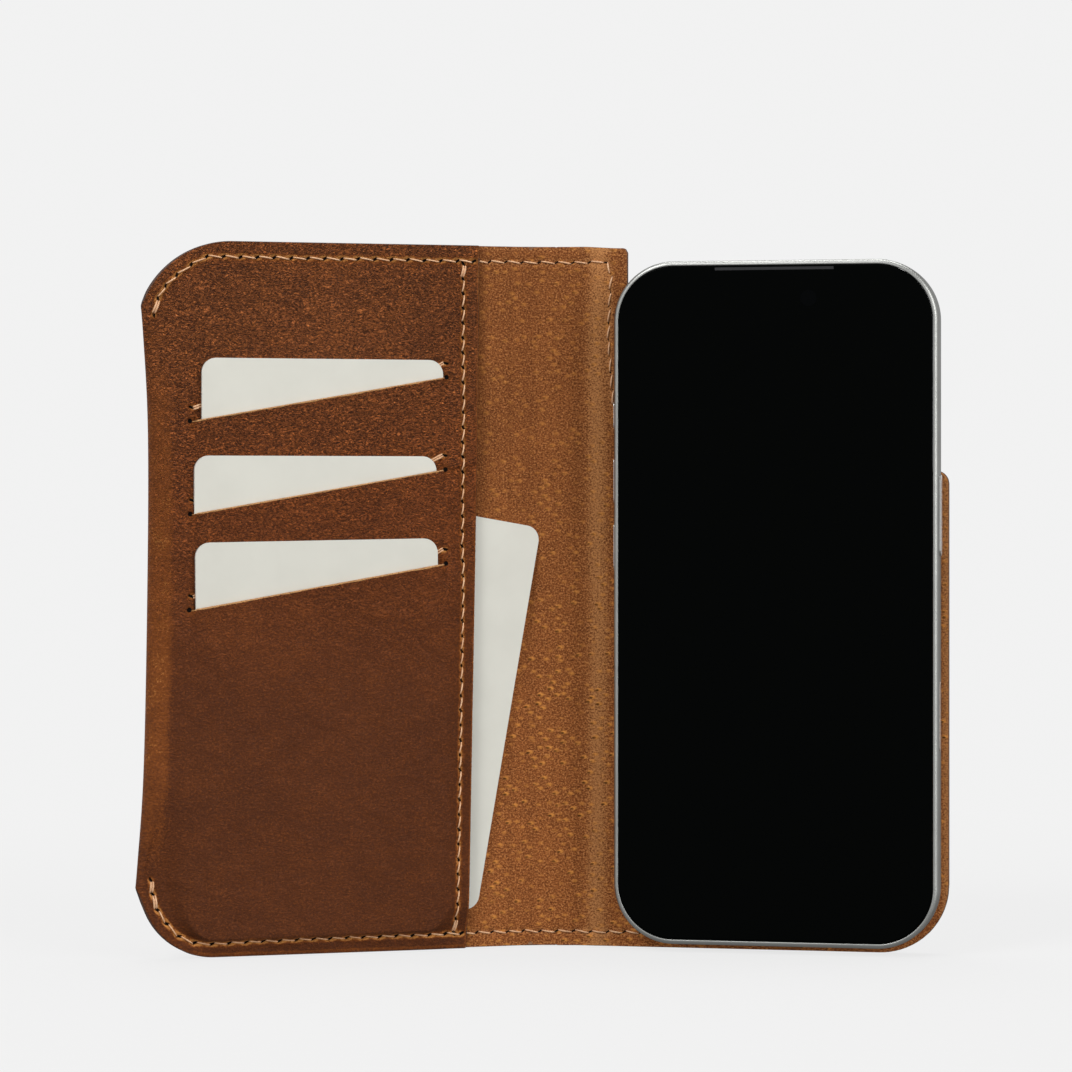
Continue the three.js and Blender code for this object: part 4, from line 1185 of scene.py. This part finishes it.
def slit_end_field(x, y):
    """Round stop holes at the ends of the slits."""
    field = np.zeros(x.shape)
    for slit in SLITS:
        for ex, ey in ((slit[0] - 0.2, slit[1] + 0.15), (slit[2] + 0.2, slit[3] + 0.1)):
            distance = np.hypot(x - ex, y - ey) - 0.25
            field = np.maximum(field, 1 - np.clip(distance / HOLE_REACH, 0, 1))
    return field


FRONT_UNROLL = 174.9  # takes the pattern on round the turned edge
SKIN_THICK = LEATHER_THICK - 0.05
HEM_THINNING = 0.42  # over the edge of the lining, inside the lower hem
FRONT_SEAMS = [TOP_LEFT, BOTTOM_LEFT, PANEL_EDGE, *SLIT_SEAMS]
OUTER_SEAMS = [TOP_LEFT, BOTTOM_LEFT, LINING_TOP_LEFT, LINING_BOTTOM_LEFT]
RIGHT_SEAMS = [TOP_RIGHT, BOTTOM_RIGHT]


def strip_shares(strip, height):
    """Rows of one of the skin's four strips, the lowest first: finer by its ends and its slit's seam."""
    by_seam = [(SLIT_SEAM_RISE - 1.1, SLIT_SEAM_RISE + 1.1)] if strip > 0 else ()
    return row_shares(height, 1.2 if strip > 0 else 5.2, 5.0 if strip == 3 else 1.5, by_seam)


def cover_outer_z(x, y):
    """The cover's outer side, level with the turned edge's back at the left."""
    ease = smooth(0, 9, x - fold_x(y) - fold_radius(y))
    return mix(fold_back(y), outer_z(x, from_right(x), y, cover_edge_distance(x, y)), ease)


def skin_thickness(columns, x, y):
    """Thinner over the lower hem's inner layers, and thicker along its very edge."""
    near_hem = (y < 6.5) & columns.is_front
    thick = SKIN_THICK - HEM_THINNING * near_hem * (1 - smooth(4.6, 6.5, y)) * smooth(2.2, 3.0, y)
    return thick + LOW_HEM_LIFT * columns.is_front * low_hem(x, y) * (1 - smooth(1.8, 2.6, y))


def unrolled(columns, x, y):
    """Flat place of the skin's points, on from the outer side round the turned edge to the front."""
    start = fold_x(y) + fold_radius(y)
    around = mix(-start, start + FRONT_UNROLL, (columns.mark + 90) / 180)
    return np.stack([columns.pick(-x, around, x + FRONT_UNROLL), y], -1)


def outer_wear(x, y, line):
    wear = np.maximum(0.55 * smooth(0.3, 0.9, line), 0.36 * bell(x - 0.4, 1.8))
    return np.maximum(wear, 0.6 * (1 - smooth(0, 4, x - fold_x(y))))


def cover_strip(columns, tier, x, y):
    """Points and masks of one strip of the skin."""
    hole_front = np.maximum(hole_field(x, y, FRONT_SEAMS), slit_end_field(x, y))
    hole_back = hole_field(x, y, OUTER_SEAMS)
    line_front, line_back = seam_field(x, y, FRONT_SEAMS), seam_field(x, y, OUTER_SEAMS)
    z_front = panel_z(tier, x, y) - pull(hole_front, line_front)
    z_turn = (fold_front(y) + fold_back(y)) / 2 + fold_radius(y) * np.sin(columns.angle)
    z_back = cover_outer_z(x, y) + pull(hole_back, line_back)
    masks = {
        "wear": columns.pick(
            outer_wear(x, y, line_back),
            mix(0.25, 0.62, fold_open(y)),
            wear_marks(x, y, hole_front, line_front),
        ),
        "hole": columns.pick(hole_back, 0, hole_front),
        "raw": columns.pick(0, 0, lip_mask(tier, x, y)),
        "thick": skin_thickness(columns, x, y),
    }
    return left_path(x, y, columns.pick(z_back, z_turn, z_front)), masks


def cover_skin():
    """The cover's whole skin in one sheet: outer side, turned edge and the slit card panel."""
    columns = CoverColumns()
    lines = [
        columns.settle(cover_low, 4.0, 6),
        *[columns.slit_line(slit) for slit in reversed(SLITS)],
        columns.settle(cover_high, HEIGHT - 4.0, 6),
    ]
    sheet = Sheet()
    shared = None
    for strip, (low, high) in enumerate(zip(lines, lines[1:])):
        tier = 3 - strip
        y = low + (high - low) * strip_shares(strip, float(np.median(high - low)))[:, None]
        x = np.stack([columns.x(row) for row in y])
        if strip > 0:  # joined to the strip below, but for the slit
            left, _, right, _ = SLITS[tier]
            in_slit = columns.is_front & (x[0] > left + 0.05) & (x[0] < right - 0.05)
            shared = np.where(in_slit, -1, shared)
        points, masks = cover_strip(columns, tier, x, y)
        shared = sheet.add_grid(points, unrolled(columns, x, y), shared, None, **masks)[-1]
    looks = [LEATHER, PAINTED_EDGE, FLESH, RAW_EDGE]
    return sheet.build("cover_skin", SKIN_THICK, looks, 0.14, at_spine_middle(sheet))


def at_spine_middle(sheet):
    return abs(abs(sheet.uv[:, 0]) - LEFT_END) < 0.01


def lining_sheet(name, points, across, y, cells=None, **masks):
    """Closes a sheet of lining; across is measured from the left hinge."""
    sheet = Sheet()
    sheet.add_grid(points, np.stack([across, y], -1), cells=cells, **masks)
    return sheet.build(name, LINING_THICK, [LINING, LINING_EDGE, FLESH], 0.1, at_spine_middle(sheet))


def lining_wear(line, inside):
    return 0.5 * smooth(0.3, 0.9, line) + 0.35 * (1 - smooth(0.2, 1.6, inside))


def cover_lining_sheet():
    """The left half of the lining, from inside the turned edge to the spine's middle."""
    refs = steps(-84.0, (-66, 1.5), (-20, 2.0), (-8, 0.6), (LEFT_END, 0.35))
    low = cover_low(flat_x(refs, 6.0)) + 0.05
    high = cover_high(flat_x(refs, HEIGHT - 6.0)) - 0.05
    y = low + (high - low) * row_shares(HEIGHT, 5.0, 5.0)[:, None]
    x = np.stack([flat_x(refs, row) for row in y])
    inside = cover_edge_distance(x, y)
    seams = [LINING_TOP_LEFT, LINING_BOTTOM_LEFT]
    hole, line = hole_field(x, y, seams), seam_field(x, y, seams)
    z = lining_z(x, from_right(x), y, inside) - pull(hole, line)
    from_panel = abs(x - panel_edge_x(y))
    # painted shade in the lining's creases, and a painted shadow cast by the card panel's free edge
    crease_and_shadow = 0.35 * bell(x + 4.3, 0.6) + 0.25 * bell(x - 0.3, 1.4)
    crease_and_shadow = crease_and_shadow + 0.75 * (1 - smooth(0.0, 3.2, from_panel)) + 0.6 * (1 - smooth(0.0, 0.8, from_panel))
    masks = {"wear": np.clip(lining_wear(line, inside), 0, 1), "hole": hole, "crease_and_shadow": np.clip(crease_and_shadow, 0, 1)}
    return lining_sheet("lining_left", left_path(x, y, z), x, y, **masks)


def back_low(x):
    """The back panel's lower outline, with its rounded corner."""
    reach = BACK_CORNER_R**2 - np.clip(x - BACK_RIGHT_X + BACK_CORNER_R, 0, BACK_CORNER_R) ** 2
    return BACK_CORNER_R - np.sqrt(np.clip(reach, 0, None))


def back_high(x):
    """The camera cut-away: a curve down from the strip, a slanted line and a small rounded tip."""
    cx, cy = CUT_LEFT
    slope = (cy - CUT_RIGHT_Y) / (BACK_RIGHT_X - cx)
    t = np.sqrt(np.clip((x - CUT_SIDE_X) / (cx - CUT_SIDE_X), 0, 1))
    control = cy + slope * (cx - CUT_SIDE_X)
    curve = CUT_TOP_Y * (1 - t) ** 2 + 2 * control * t * (1 - t) + cy * t**2
    line = cy - slope * (x - cx)
    over = np.clip(x - BACK_RIGHT_X + CUT_TIP_R, 0, CUT_TIP_R)
    tip = CUT_TIP_R - np.sqrt(CUT_TIP_R**2 - over**2)
    return np.where(x < cx, curve, line) - tip


def strip_top(x):
    """The strip beside the phone: its upper edge drops a little and ends in a small rounded corner."""
    round_off = 1.0 - np.sqrt(1.0 - np.clip(x - CUT_SIDE_X + 1.0, 0, 1) ** 2)
    return HEIGHT - 0.4 * smooth(0, 9, x) - round_off


def back_grid():
    """Points across the right half: spine, strip beside the phone and the panel below the cut-away."""
    strip = steps(RIGHT_START, (3.0, 0.35), (CUT_SIDE_X, 0.45))
    panel = steps(CUT_SIDE_X, (CUT_SIDE_X + 2, 0.2), (22, 0.7), (77, 1.2), (79.6, 0.4), (BACK_RIGHT_X, 0.15))
    x = np.concatenate([strip, panel[1:]])
    on_strip = x <= CUT_SIDE_X + 1e-6
    lower = row_shares(CUT_TOP_Y, 5.0, 0.0)
    upper = row_shares(HEIGHT - CUT_TOP_Y, 0.0, 5.0)
    low, high = back_low(x), np.where(on_strip, CUT_TOP_Y, back_high(x))
    y_lower = low + (high - low) * lower[:, None]
    y_upper = high + (strip_top(x) - CUT_TOP_Y) * upper[1:, None]
    y = np.concatenate([y_lower, y_upper])
    cells = np.ones((len(y) - 1, len(x) - 1), bool)
    cells[len(lower) - 1 :, len(strip) - 1 :] = False
    top = np.where(on_strip, strip_top(x), high)
    x = np.broadcast_to(x, y.shape).copy()
    inside = np.minimum.reduce([y - low, top - y, BACK_RIGHT_X - x])
    side = np.where((y > CUT_TOP_Y) & on_strip, CUT_SIDE_X - x, np.inf)
    return x, y, np.minimum(inside, side), cells


def back_lining_sheet():
    """The right half of the lining, with a ridge beside the phone that is lighter from worn nap and a
    painted highlight, and painted shade in the groove by the hinge.
    """
    x, y, inside, cells = back_grid()
    hole, line = hole_field(x, y, RIGHT_SEAMS), seam_field(x, y, RIGHT_SEAMS)
    z = lining_z(from_left(x), x, y, inside) - pull(hole, line)
    wave = crease_wave(y)
    # the ridge beside the phone is lighter: partly worn nap, partly a painted highlight on the raised ridge
    ridge = 0.82 * bell(x - 3.9 + 0.6 * wave, 2.8)
    wear = lining_wear(line, inside) + ridge + 0.45 * smooth(79.0, 80.4, x)
    # painted shade along the right crease
    masks = {"wear": np.clip(wear, 0, 1), "hole": hole, "crease_and_shadow": 0.30 * bell(x - 0.35 + 0.4 * wave, 0.5)}
    return lining_sheet("lining_right", right_path(x, y, z), from_left(x), y, cells, **masks)


def back_skin():
    """The right half of the outer skin. Its columns run the other way, so that its grain side faces back."""
    x, y, inside, cells = (grid[:, ::-1] for grid in back_grid())
    hole, line = hole_field(x, y, RIGHT_SEAMS), seam_field(x, y, RIGHT_SEAMS)
    z = outer_z(from_left(x), x, y, inside) + pull(hole, line)
    wear = np.maximum(0.55 * smooth(0.3, 0.9, line), 0.36 * bell(x, 1.8))
    wear = np.maximum(wear, 0.5 * (1 - smooth(0.1, 1.2, inside)))
    sheet = Sheet()
    sheet.add_grid(right_path(x, y, z), np.stack([-from_left(x), y], -1), cells=cells, wear=wear, hole=hole)
    looks = [LEATHER, PAINTED_EDGE, FLESH]
    return sheet.build("back_skin", LEATHER_THICK, looks, 0.14, at_spine_middle(sheet))


LINER_THICK = 0.1
LINER_LOW_Y = 5.2
LINER_CORNER_R = 3.0
LINER_ROWS = 60


def lowest_liner():
    """The thin fabric behind the lowest card, with rounded lower corners."""
    left, right = CARD_SIDES[2][0] + 0.8, CARD_SIDES[2][1] + 0.3
    r = LINER_CORNER_R
    x = steps(left, (left + r, 0.3), (right - r, 2.0), (right, 0.3))
    beyond = np.clip(np.maximum(left + r - x, x - right + r), 0, r)
    low = LINER_LOW_Y + r - np.sqrt(r**2 - beyond**2)
    high = slit_y(SLITS[2], x) + SLIT_SEAM_RISE - 0.6
    y = low + (high - low) * np.linspace(0, 1, LINER_ROWS)[:, None]
    x = np.broadcast_to(x, y.shape)
    back, height, lean = CARD_LEAN[3]
    z = back + lean * (y - height) - 0.03
    z = np.where(y > high - 3, np.minimum(z, tier_front(2, y) - PANEL_THICK - 0.08), z)
    sheet = Sheet()
    sheet.add_grid(COVER.world(x, y, z), np.stack([x, y], -1))
    liner = sheet.build("pocket_liner_low", LINER_THICK, [WEAVE, WEAVE, WEAVE], 0.0)
    liner.data.polygons.foreach_set("material_index", np.full(len(liner.data.polygons), GRAIN, np.int32))
    return liner


# ---------------------------------------------------------------- stitches

THREAD_R = 0.185
THICK_THREAD_R = 0.25
THREAD_LIFT = 0.17
TOP_LANE_LIFT = -0.02  # under the way of the upper card
SLIT_LANE_LIFT = -0.28
THREAD_DIP = 0.42  # how deep a thread's middle is at its holes
TWIST_LENGTH = 1.5
STITCH_RINGS = 13
STITCH_SIDES = 9


def full_lift(x):
    """How far a thread's middle stands off the leather."""
    return np.full(np.shape(x), THREAD_LIFT)


def lane_lift(left, right, low):
    """Full height beside a card's way and low where the card slides over the thread."""

    def lift(x):
        over = smooth(left - 1.0, left - 0.3, x) * (1 - smooth(right + 0.3, right + 1.0, x))
        return mix(low, THREAD_LIFT, 1 - over)

    return lift


def stitch(start, end, surface, outward, path, lift, radius):
    """One stitch between two holes: a twisted two-ply thread that dips into each hole."""
    t = np.linspace(0, 1, STITCH_RINGS)
    flat = start + (end - start) * t[:, None]
    arch = np.sin(math.pi * t) ** 0.55
    ground = surface(flat[:, 0], flat[:, 1])
    z = ground + outward * (lift(flat[:, 0]) * arch - THREAD_DIP * (1 - arch))
    centre = path(flat[:, 0], flat[:, 1], z)
    ahead = unit(np.gradient(centre, axis=0))
    up = path(flat[:, 0], flat[:, 1], z + outward) - centre
    side = unit(np.cross(ahead, up))
    up = np.cross(side, ahead)
    angle = np.linspace(0, 2 * math.pi, STITCH_SIDES, endpoint=False)
    length = np.linalg.norm(centre[-1] - centre[0])
    twist = (2 * math.pi * length / TWIST_LENGTH) * t[:, None]
    ply = radius * (0.92 + 0.13 * np.cos(2 * (angle + twist)))
    ply = ply * (0.72 + 0.28 * arch[:, None])
    ring = (np.cos(angle) * ply)[..., None] * side[:, None] + (np.sin(angle) * ply)[..., None] * up[:, None]
    return centre[:, None] + ring


STITCH_END = 0.42  # a stitch comes out this far from the middle of its hole
STITCH_SLANT = 0.24
DOUBLE_APART = 0.24  # the two threads of a doubled stitch lie this far to each side


class Stitches:
    """All the stitches of one piece of thread."""

    def __init__(self, name):
        self.name = name
        self.points, self.faces, self.uv = [], [], []
        self.count = 0

    def run(self, seam, surface, path, outward=1, lift=full_lift):
        for i, (a, b) in enumerate(zip(seam.holes, seam.holes[1:])):
            slant = outward * STITCH_SLANT * slant_sign(seam.along[i])
            start = a + seam.along[i] * STITCH_END + seam.side[i] * slant
            end = b - seam.along[i + 1] * STITCH_END - seam.side[i + 1] * slant
            if i in seam.doubled:
                threads = [(-DOUBLE_APART, THICK_THREAD_R), (DOUBLE_APART, THICK_THREAD_R)]
            else:
                threads = [(0.0, THREAD_R)]
            for off, radius in threads:
                nudge = seam.side[i] * off
                self.add(stitch(start + nudge, end + nudge, surface, outward, path, lift, radius))

    def add(self, tube):
        rings, sides = tube.shape[:2]
        ids = np.arange(rings * sides).reshape(rings, sides) + self.count
        turn = np.roll(ids, -1, axis=1)
        self.faces += np.stack([ids[:-1], turn[:-1], turn[1:], ids[1:]], -1).reshape(-1, 4).tolist()
        self.faces += [ids[0][::-1].tolist(), ids[-1].tolist()]
        self.points.append(tube.reshape(-1, 3))
        u = np.repeat(np.arange(rings) * 0.25, sides) + self.count * 0.013
        v = np.tile(np.arange(sides) * 0.18, rings)
        self.uv.append(np.stack([u, v], -1))
        self.count += rings * sides

    def build(self):
        points, uv = np.concatenate(self.points), np.concatenate(self.uv)
        return make_mesh(self.name, points, self.faces, [THREAD], uv=uv)


def left_lining_ground(x, y):
    return lining_z(x, from_right(x), y, cover_edge_distance(x, y))


def right_inside(x, y):
    top = np.where(x <= CUT_SIDE_X, HEIGHT, back_high(x))
    return np.minimum(y - back_low(x), top - y)


def right_lining_ground(x, y):
    return lining_z(from_left(x), x, y, right_inside(x, y))


def right_outer_ground(x, y):
    return outer_z(from_left(x), x, y, right_inside(x, y))


def edge_stitches(name, corner, lining):
    """Top or bottom seam of the cover, on both sides of the leather, as far as the spine's middle."""
    thread = Stitches(name)
    thread.run(corner, panel_front, left_path, 1, lane_lift(*CARD_SIDES[0], TOP_LANE_LIFT))
    thread.run(lining, left_lining_ground, left_path)
    thread.run(corner, cover_outer_z, left_path, -1)
    thread.run(lining, cover_outer_z, left_path, -1)
    return thread.build()


def strip_stitches(name, seam):
    """Right part of the top or bottom seam, on both sides of the leather."""
    thread = Stitches(name)
    thread.run(seam, right_lining_ground, right_path)
    thread.run(seam, right_outer_ground, right_path, -1)
    return thread.build()


def panel_edge_stitches():
    """The seam down the card panel's free edge."""
    thread = Stitches("stitches_panel_edge")
    thread.run(PANEL_EDGE, panel_front, left_path)
    return thread.build()


def slit_stitches(index):
    """The seam above a slit. Under a card the thread lies flat in its groove."""
    thread = Stitches(f"stitches_slit_{index + 1}")
    thread.run(SLIT_SEAMS[index], panel_front, left_path, 1, lane_lift(*CARD_SIDES[index], SLIT_LANE_LIFT))
    return thread.build()


# ---------------------------------------------------------------- phone


CORNER_POINTS = 32


def rounded_path(inset):
    """Points round the phone's outline, drawn in by an inset."""
    x0, y0 = PHONE_LEFT_X + inset, PHONE_BOTTOM_Y + inset
    x1, y1 = PHONE_LEFT_X + PHONE_WIDTH - inset, PHONE_BOTTOM_Y + PHONE_HEIGHT - inset
    r = PHONE_CORNER_R - inset
    corners = [(x1 - r, y0 + r, -90), (x1 - r, y1 - r, 0), (x0 + r, y1 - r, 90), (x0 + r, y0 + r, 180)]
    points = []
    for cx, cy, start in corners:
        for a in np.radians(np.linspace(start, start + 90, CORNER_POINTS)):
            points.append((cx + r * math.cos(a), cy + r * math.sin(a)))
    return np.array(points)


def sweep_ring(name, profile, material, ring=True):
    """A profile of (inset, stand-off) points swept round the phone's outline: a ring or a closed plate."""
    grid = np.stack([np.insert(rounded_path(inset), 2, z, axis=1) for inset, z in profile])
    rows, columns = grid.shape[:2]
    ids = np.arange(rows * columns).reshape(rows, columns)
    turn = np.roll(ids, -1, axis=1)
    faces = np.stack([ids, turn, np.roll(turn, -1, axis=0), np.roll(ids, -1, axis=0)], -1)
    faces = (faces if ring else faces[:-1]).reshape(-1, 4).tolist()
    if not ring:
        faces += [ids[0][::-1].tolist(), ids[-1].tolist()]
    points = BACK.world(grid[..., 0], grid[..., 1], grid[..., 2]).reshape(-1, 3)
    return make_mesh(name, points, faces, [material])


def glass_profile():
    """Section of the front glass: a straight edge, rounded over to the face."""
    turn = np.radians(np.linspace(0, 90, 6))
    back, front = GLASS_FRONT - GLASS_THICK, GLASS_FRONT
    inset, r = GLASS_INSET, GLASS_ROUND
    rounded = [(inset + r * (1 - math.cos(a)), front - r * (1 - math.sin(a))) for a in turn]
    return [(inset + 0.3, back), (inset, back), *rounded, (inset + r + 0.3, front)]


def rail_profile():
    """Section of the phone's frame: a narrow lip by the glass, round edges and a slightly crowned wall."""
    middle, half = (PHONE_FRONT + PHONE_BACK) / 2, (PHONE_FRONT - PHONE_BACK) / 2
    r = RAIL_ROUND
    straight = half - r
    turn = np.radians(np.linspace(0, 90, 12))
    edge = RAIL_SET_IN + RAIL_CROWN
    front = [(edge + r * (1 - math.sin(a)), middle + straight + r * math.cos(a)) for a in turn]
    wall = [(RAIL_SET_IN + RAIL_CROWN * t * t, middle + straight * t) for t in np.linspace(0.8, -0.8, 9)]
    rear = [(inset, 2 * middle - z) for inset, z in reversed(front)]
    inner = [(FRAME_WALL + 0.02, PHONE_BACK + 0.02), (FRAME_WALL + 0.04, PHONE_BACK + 0.9)]
    inner += [(FRAME_WALL + 0.04, PHONE_FRONT - 0.9), (FRAME_WALL + 0.02, PHONE_FRONT - 0.02)]
    return (front + wall + rear + inner)[::-1]


BEVEL_SEGMENTS = 3
BEVEL_FROM = 35  # degrees between faces


def soften(node, width):
    """Rounds the sharp edges of a carried-over part."""
    obj = NODES[node]
    bevel = obj.modifiers.new("soft_edges", "BEVEL")
    bevel.width = width * MM
    bevel.segments = BEVEL_SEGMENTS
    bevel.limit_method = "ANGLE"
    bevel.angle_limit = math.radians(BEVEL_FROM)
    obj.data.polygons.foreach_set("use_smooth", np.full(len(obj.data.polygons), True))
    bevel.harden_normals = True


def dress(node, material):
    """Gives a carried-over part its material."""
    NODES[node].data.materials.clear()
    NODES[node].data.materials.append(material)


# ---------------------------------------------------------------- put together

LEFT_BLEND = {
    "start": (COVER.world(-HINGE_GAP, 0, 0) * MM).tolist(),
    "end": (SPINE.world(COVER_HINGE_X + SPINE_GAP_LEFT, 0, 0) * MM).tolist(),
}
RIGHT_BLEND = {
    "start": (SPINE.world(BACK_HINGE_X - HINGE_GAP, 0, 0) * MM).tolist(),
    "end": (BACK.world(HINGE_GAP, 0, 0) * MM).tolist(),
}


def redraws(piece, slot, *nodes):
    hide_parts(*nodes)


def left(piece, slot, *nodes):
    redraws(piece, slot, *nodes)
    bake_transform(piece)


def right(piece, slot, *nodes):
    redraws(piece, slot, *nodes)
    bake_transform(piece)


def riding(piece, body, slot, *nodes):
    redraws(piece, slot, *nodes)
    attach(piece, body)


left(cover_skin(), "leather", "cover_leather", "spine_leather")
left(cover_lining_sheet(), "lining", "cover_lining", "spine_lining")
right(back_lining_sheet(), "lining", "back_lining")
right(back_skin(), "leather", "back_leather")
top_left = edge_stitches("stitches_top_left", TOP_LEFT, LINING_TOP_LEFT)
left(top_left, "thread", "thread_cover_top", "thread_spine_top")
bottom_left = edge_stitches("stitches_bottom_left", BOTTOM_LEFT, LINING_BOTTOM_LEFT)
left(bottom_left, "thread", "thread_cover_bottom", "thread_spine_bottom")
right(strip_stitches("stitches_top_right", TOP_RIGHT), "thread", "thread_back_top")
right(strip_stitches("stitches_bottom_right", BOTTOM_RIGHT), "thread", "thread_back_bottom")
riding(lowest_liner(), "cover", "pocket_fabric", "pocket_liner_3")
riding(panel_edge_stitches(), "cover", "thread", "thread_panel_edge")
for i in range(len(SLITS)):
    riding(slit_stitches(i), "cover", "thread", f"thread_slit_{i + 1}")
riding(sweep_ring("phone_rail", rail_profile(), PHONE_METAL), "phone", "phone_metal", "phone_frame")
glass = sweep_ring("phone_glass", glass_profile(), SCREEN, ring=False)
riding(glass, "phone", "screen_glass", "phone_front_glass")

CARDS = ["card_1", "card_2", "card_3", "side_card"]
SIDE_BUTTONS = ["phone_action_button", "phone_volume_up", "phone_volume_down", "phone_side_button"]
CAMERA_PARTS = ["phone_camera_plateau", "phone_lens_1", "phone_lens_2"]
NODE_LOOKS = [
    (BOARD, ["cover_board", "spine_board", "back_board"]),
    (STEEL, ["ring_shield"]),
    (MAGNET_METAL, ["key_magnet", *[name for name in NODES if name.startswith("ring_magnet")]]),
    (BACK_GLASS, ["phone_back_glass"]),
    (DARK_TRIM, ["phone_core", "phone_earpiece"]),
    (PHONE_METAL, ["phone_camera_plateau"]),
    (LENS, ["phone_lens_1", "phone_lens_2"]),
    (FLASH, ["phone_flash"]),
    (CAMERA_EYE, ["phone_front_camera"]),
    (CARD, CARDS),
    (WEAVE, ["pocket_liner_1", "pocket_liner_2"]),
    (BUTTON_METAL, [*SIDE_BUTTONS, "phone_camera_button"]),
]
for look, names in NODE_LOOKS:
    for name in names:
        dress(name, look)
for width, names in [(0.10, CARDS), (0.25, ["phone_back_glass"]), (0.3, CAMERA_PARTS), (0.15, SIDE_BUTTONS)]:
    for name in names:
        soften(name, width)

# ---------------------------------------------------------------- stage, light and camera

BACKDROP = 0.885


def floor_look():
    """Pale floor that runs out into the backdrop's tone."""
    k = Look("pale_floor", uv=False)
    grain = k.noise(3.0, 3.0, 0.5)
    base = k.ramp(grain, (0.3, (0.64, 0.64, 0.64)), (0.7, (0.66, 0.66, 0.66)))
    distance = k.vector("LENGTH", 1, _0=k.place)
    k.done(base, 0.9, k.bump(grain, 0.0001, 0.2), Specular_IOR_Level=0.1)
    glow = k.node("ShaderNodeEmission", Color=(BACKDROP, BACKDROP, BACKDROP, 1), Strength=1.0)
    share = k.range(distance, 12.0, 40.0, 0.86, 1.0)
    mixed = k.node("ShaderNodeMixShader", _0=share, _1=k.shader.outputs[0], _2=glow)
    k.put(k.tree.nodes["Material Output"].inputs["Surface"], mixed)
    return k.material


FLOOR_REACH = 60.0
FLOOR_GAP = 0.0002


def make_floor():
    """A wide floor that neither tints the case nor shows in its glass."""
    r, z = FLOOR_REACH, CAD_BOX[0].z - FLOOR_GAP
    mesh = bpy.data.meshes.new("floor")
    mesh.from_pydata([(-r, -r, z), (r, -r, z), (r, r, z), (-r, r, z)], [], [(0, 1, 2, 3)])
    mesh.materials.append(floor_look())
    floor = add_object("floor", mesh)
    floor.visible_diffuse = False
    floor.visible_glossy = False


def soft_light(name, place, target, size, power):
    lamp = bpy.data.lights.new(name, "AREA")
    lamp.shape = "RECTANGLE"
    lamp.size, lamp.size_y = size
    lamp.energy = power
    obj = add_object(name, lamp)
    obj.location = place
    obj.rotation_mode = "QUATERNION"
    obj.rotation_quaternion = (Vector(target) - Vector(place)).to_track_quat("-Z", "Y")


def make_world():
    """Pale backdrop round the horizon, with softer light from above and below."""
    world = bpy.data.worlds.new("studio")
    bpy.context.scene.world = world
    world.use_nodes = True
    tree = world.node_tree
    place = tree.nodes.new("ShaderNodeTexCoord")
    split = tree.nodes.new("ShaderNodeSeparateXYZ")
    ramp = tree.nodes.new("ShaderNodeValToRGB")
    shift = tree.nodes.new("ShaderNodeMath")
    shift.operation = "MULTIPLY_ADD"
    shift.inputs[1].default_value = 0.5
    shift.inputs[2].default_value = 0.5
    tree.links.new(place.outputs["Generated"], split.inputs[0])
    tree.links.new(split.outputs[2], shift.inputs[0])
    tree.links.new(shift.outputs[0], ramp.inputs[0])
    tree.links.new(ramp.outputs[0], tree.nodes["Background"].inputs["Color"])
    below, above = 0.30, 0.42
    stops = [(0.0, below), (0.40, below), (0.45, BACKDROP), (0.62, BACKDROP), (0.70, above), (1.0, above)]
    set_ramp(ramp.color_ramp, stops)


CAMERA_DISTANCE = 892.0  # from the spine's lining
CAMERA_HEIGHT = 102.12
LENS_MM = 135.4
SENSOR_MM = 36.0
SHIFT_Y = -0.049


def make_camera():
    camera = bpy.data.cameras.new("camera")
    camera.lens = LENS_MM
    camera.sensor_width = SENSOR_MM
    camera.shift_y = SHIFT_Y
    obj = add_object("camera", camera)
    spine = SPINE.origin
    obj.location = (spine[0] * MM, (spine[1] - CAMERA_DISTANCE) * MM, CAMERA_HEIGHT * MM)
    obj.rotation_euler = (math.pi / 2, 0, 0)
    bpy.context.scene.camera = obj


make_world()
make_floor()
make_camera()
LIT_AT = (0, 0, 0.08)
soft_light("key", (-0.80, -0.95, 1.20), LIT_AT, (0.5, 0.5), 12.5)
soft_light("fill", (1.2, -1.1, 0.6), LIT_AT, (0.9, 1.2), 13.5)
soft_light("top", (0.1, 0.20, 1.5), LIT_AT, (1.0, 0.6), 11)
bpy.context.scene.view_settings.view_transform = "Standard"
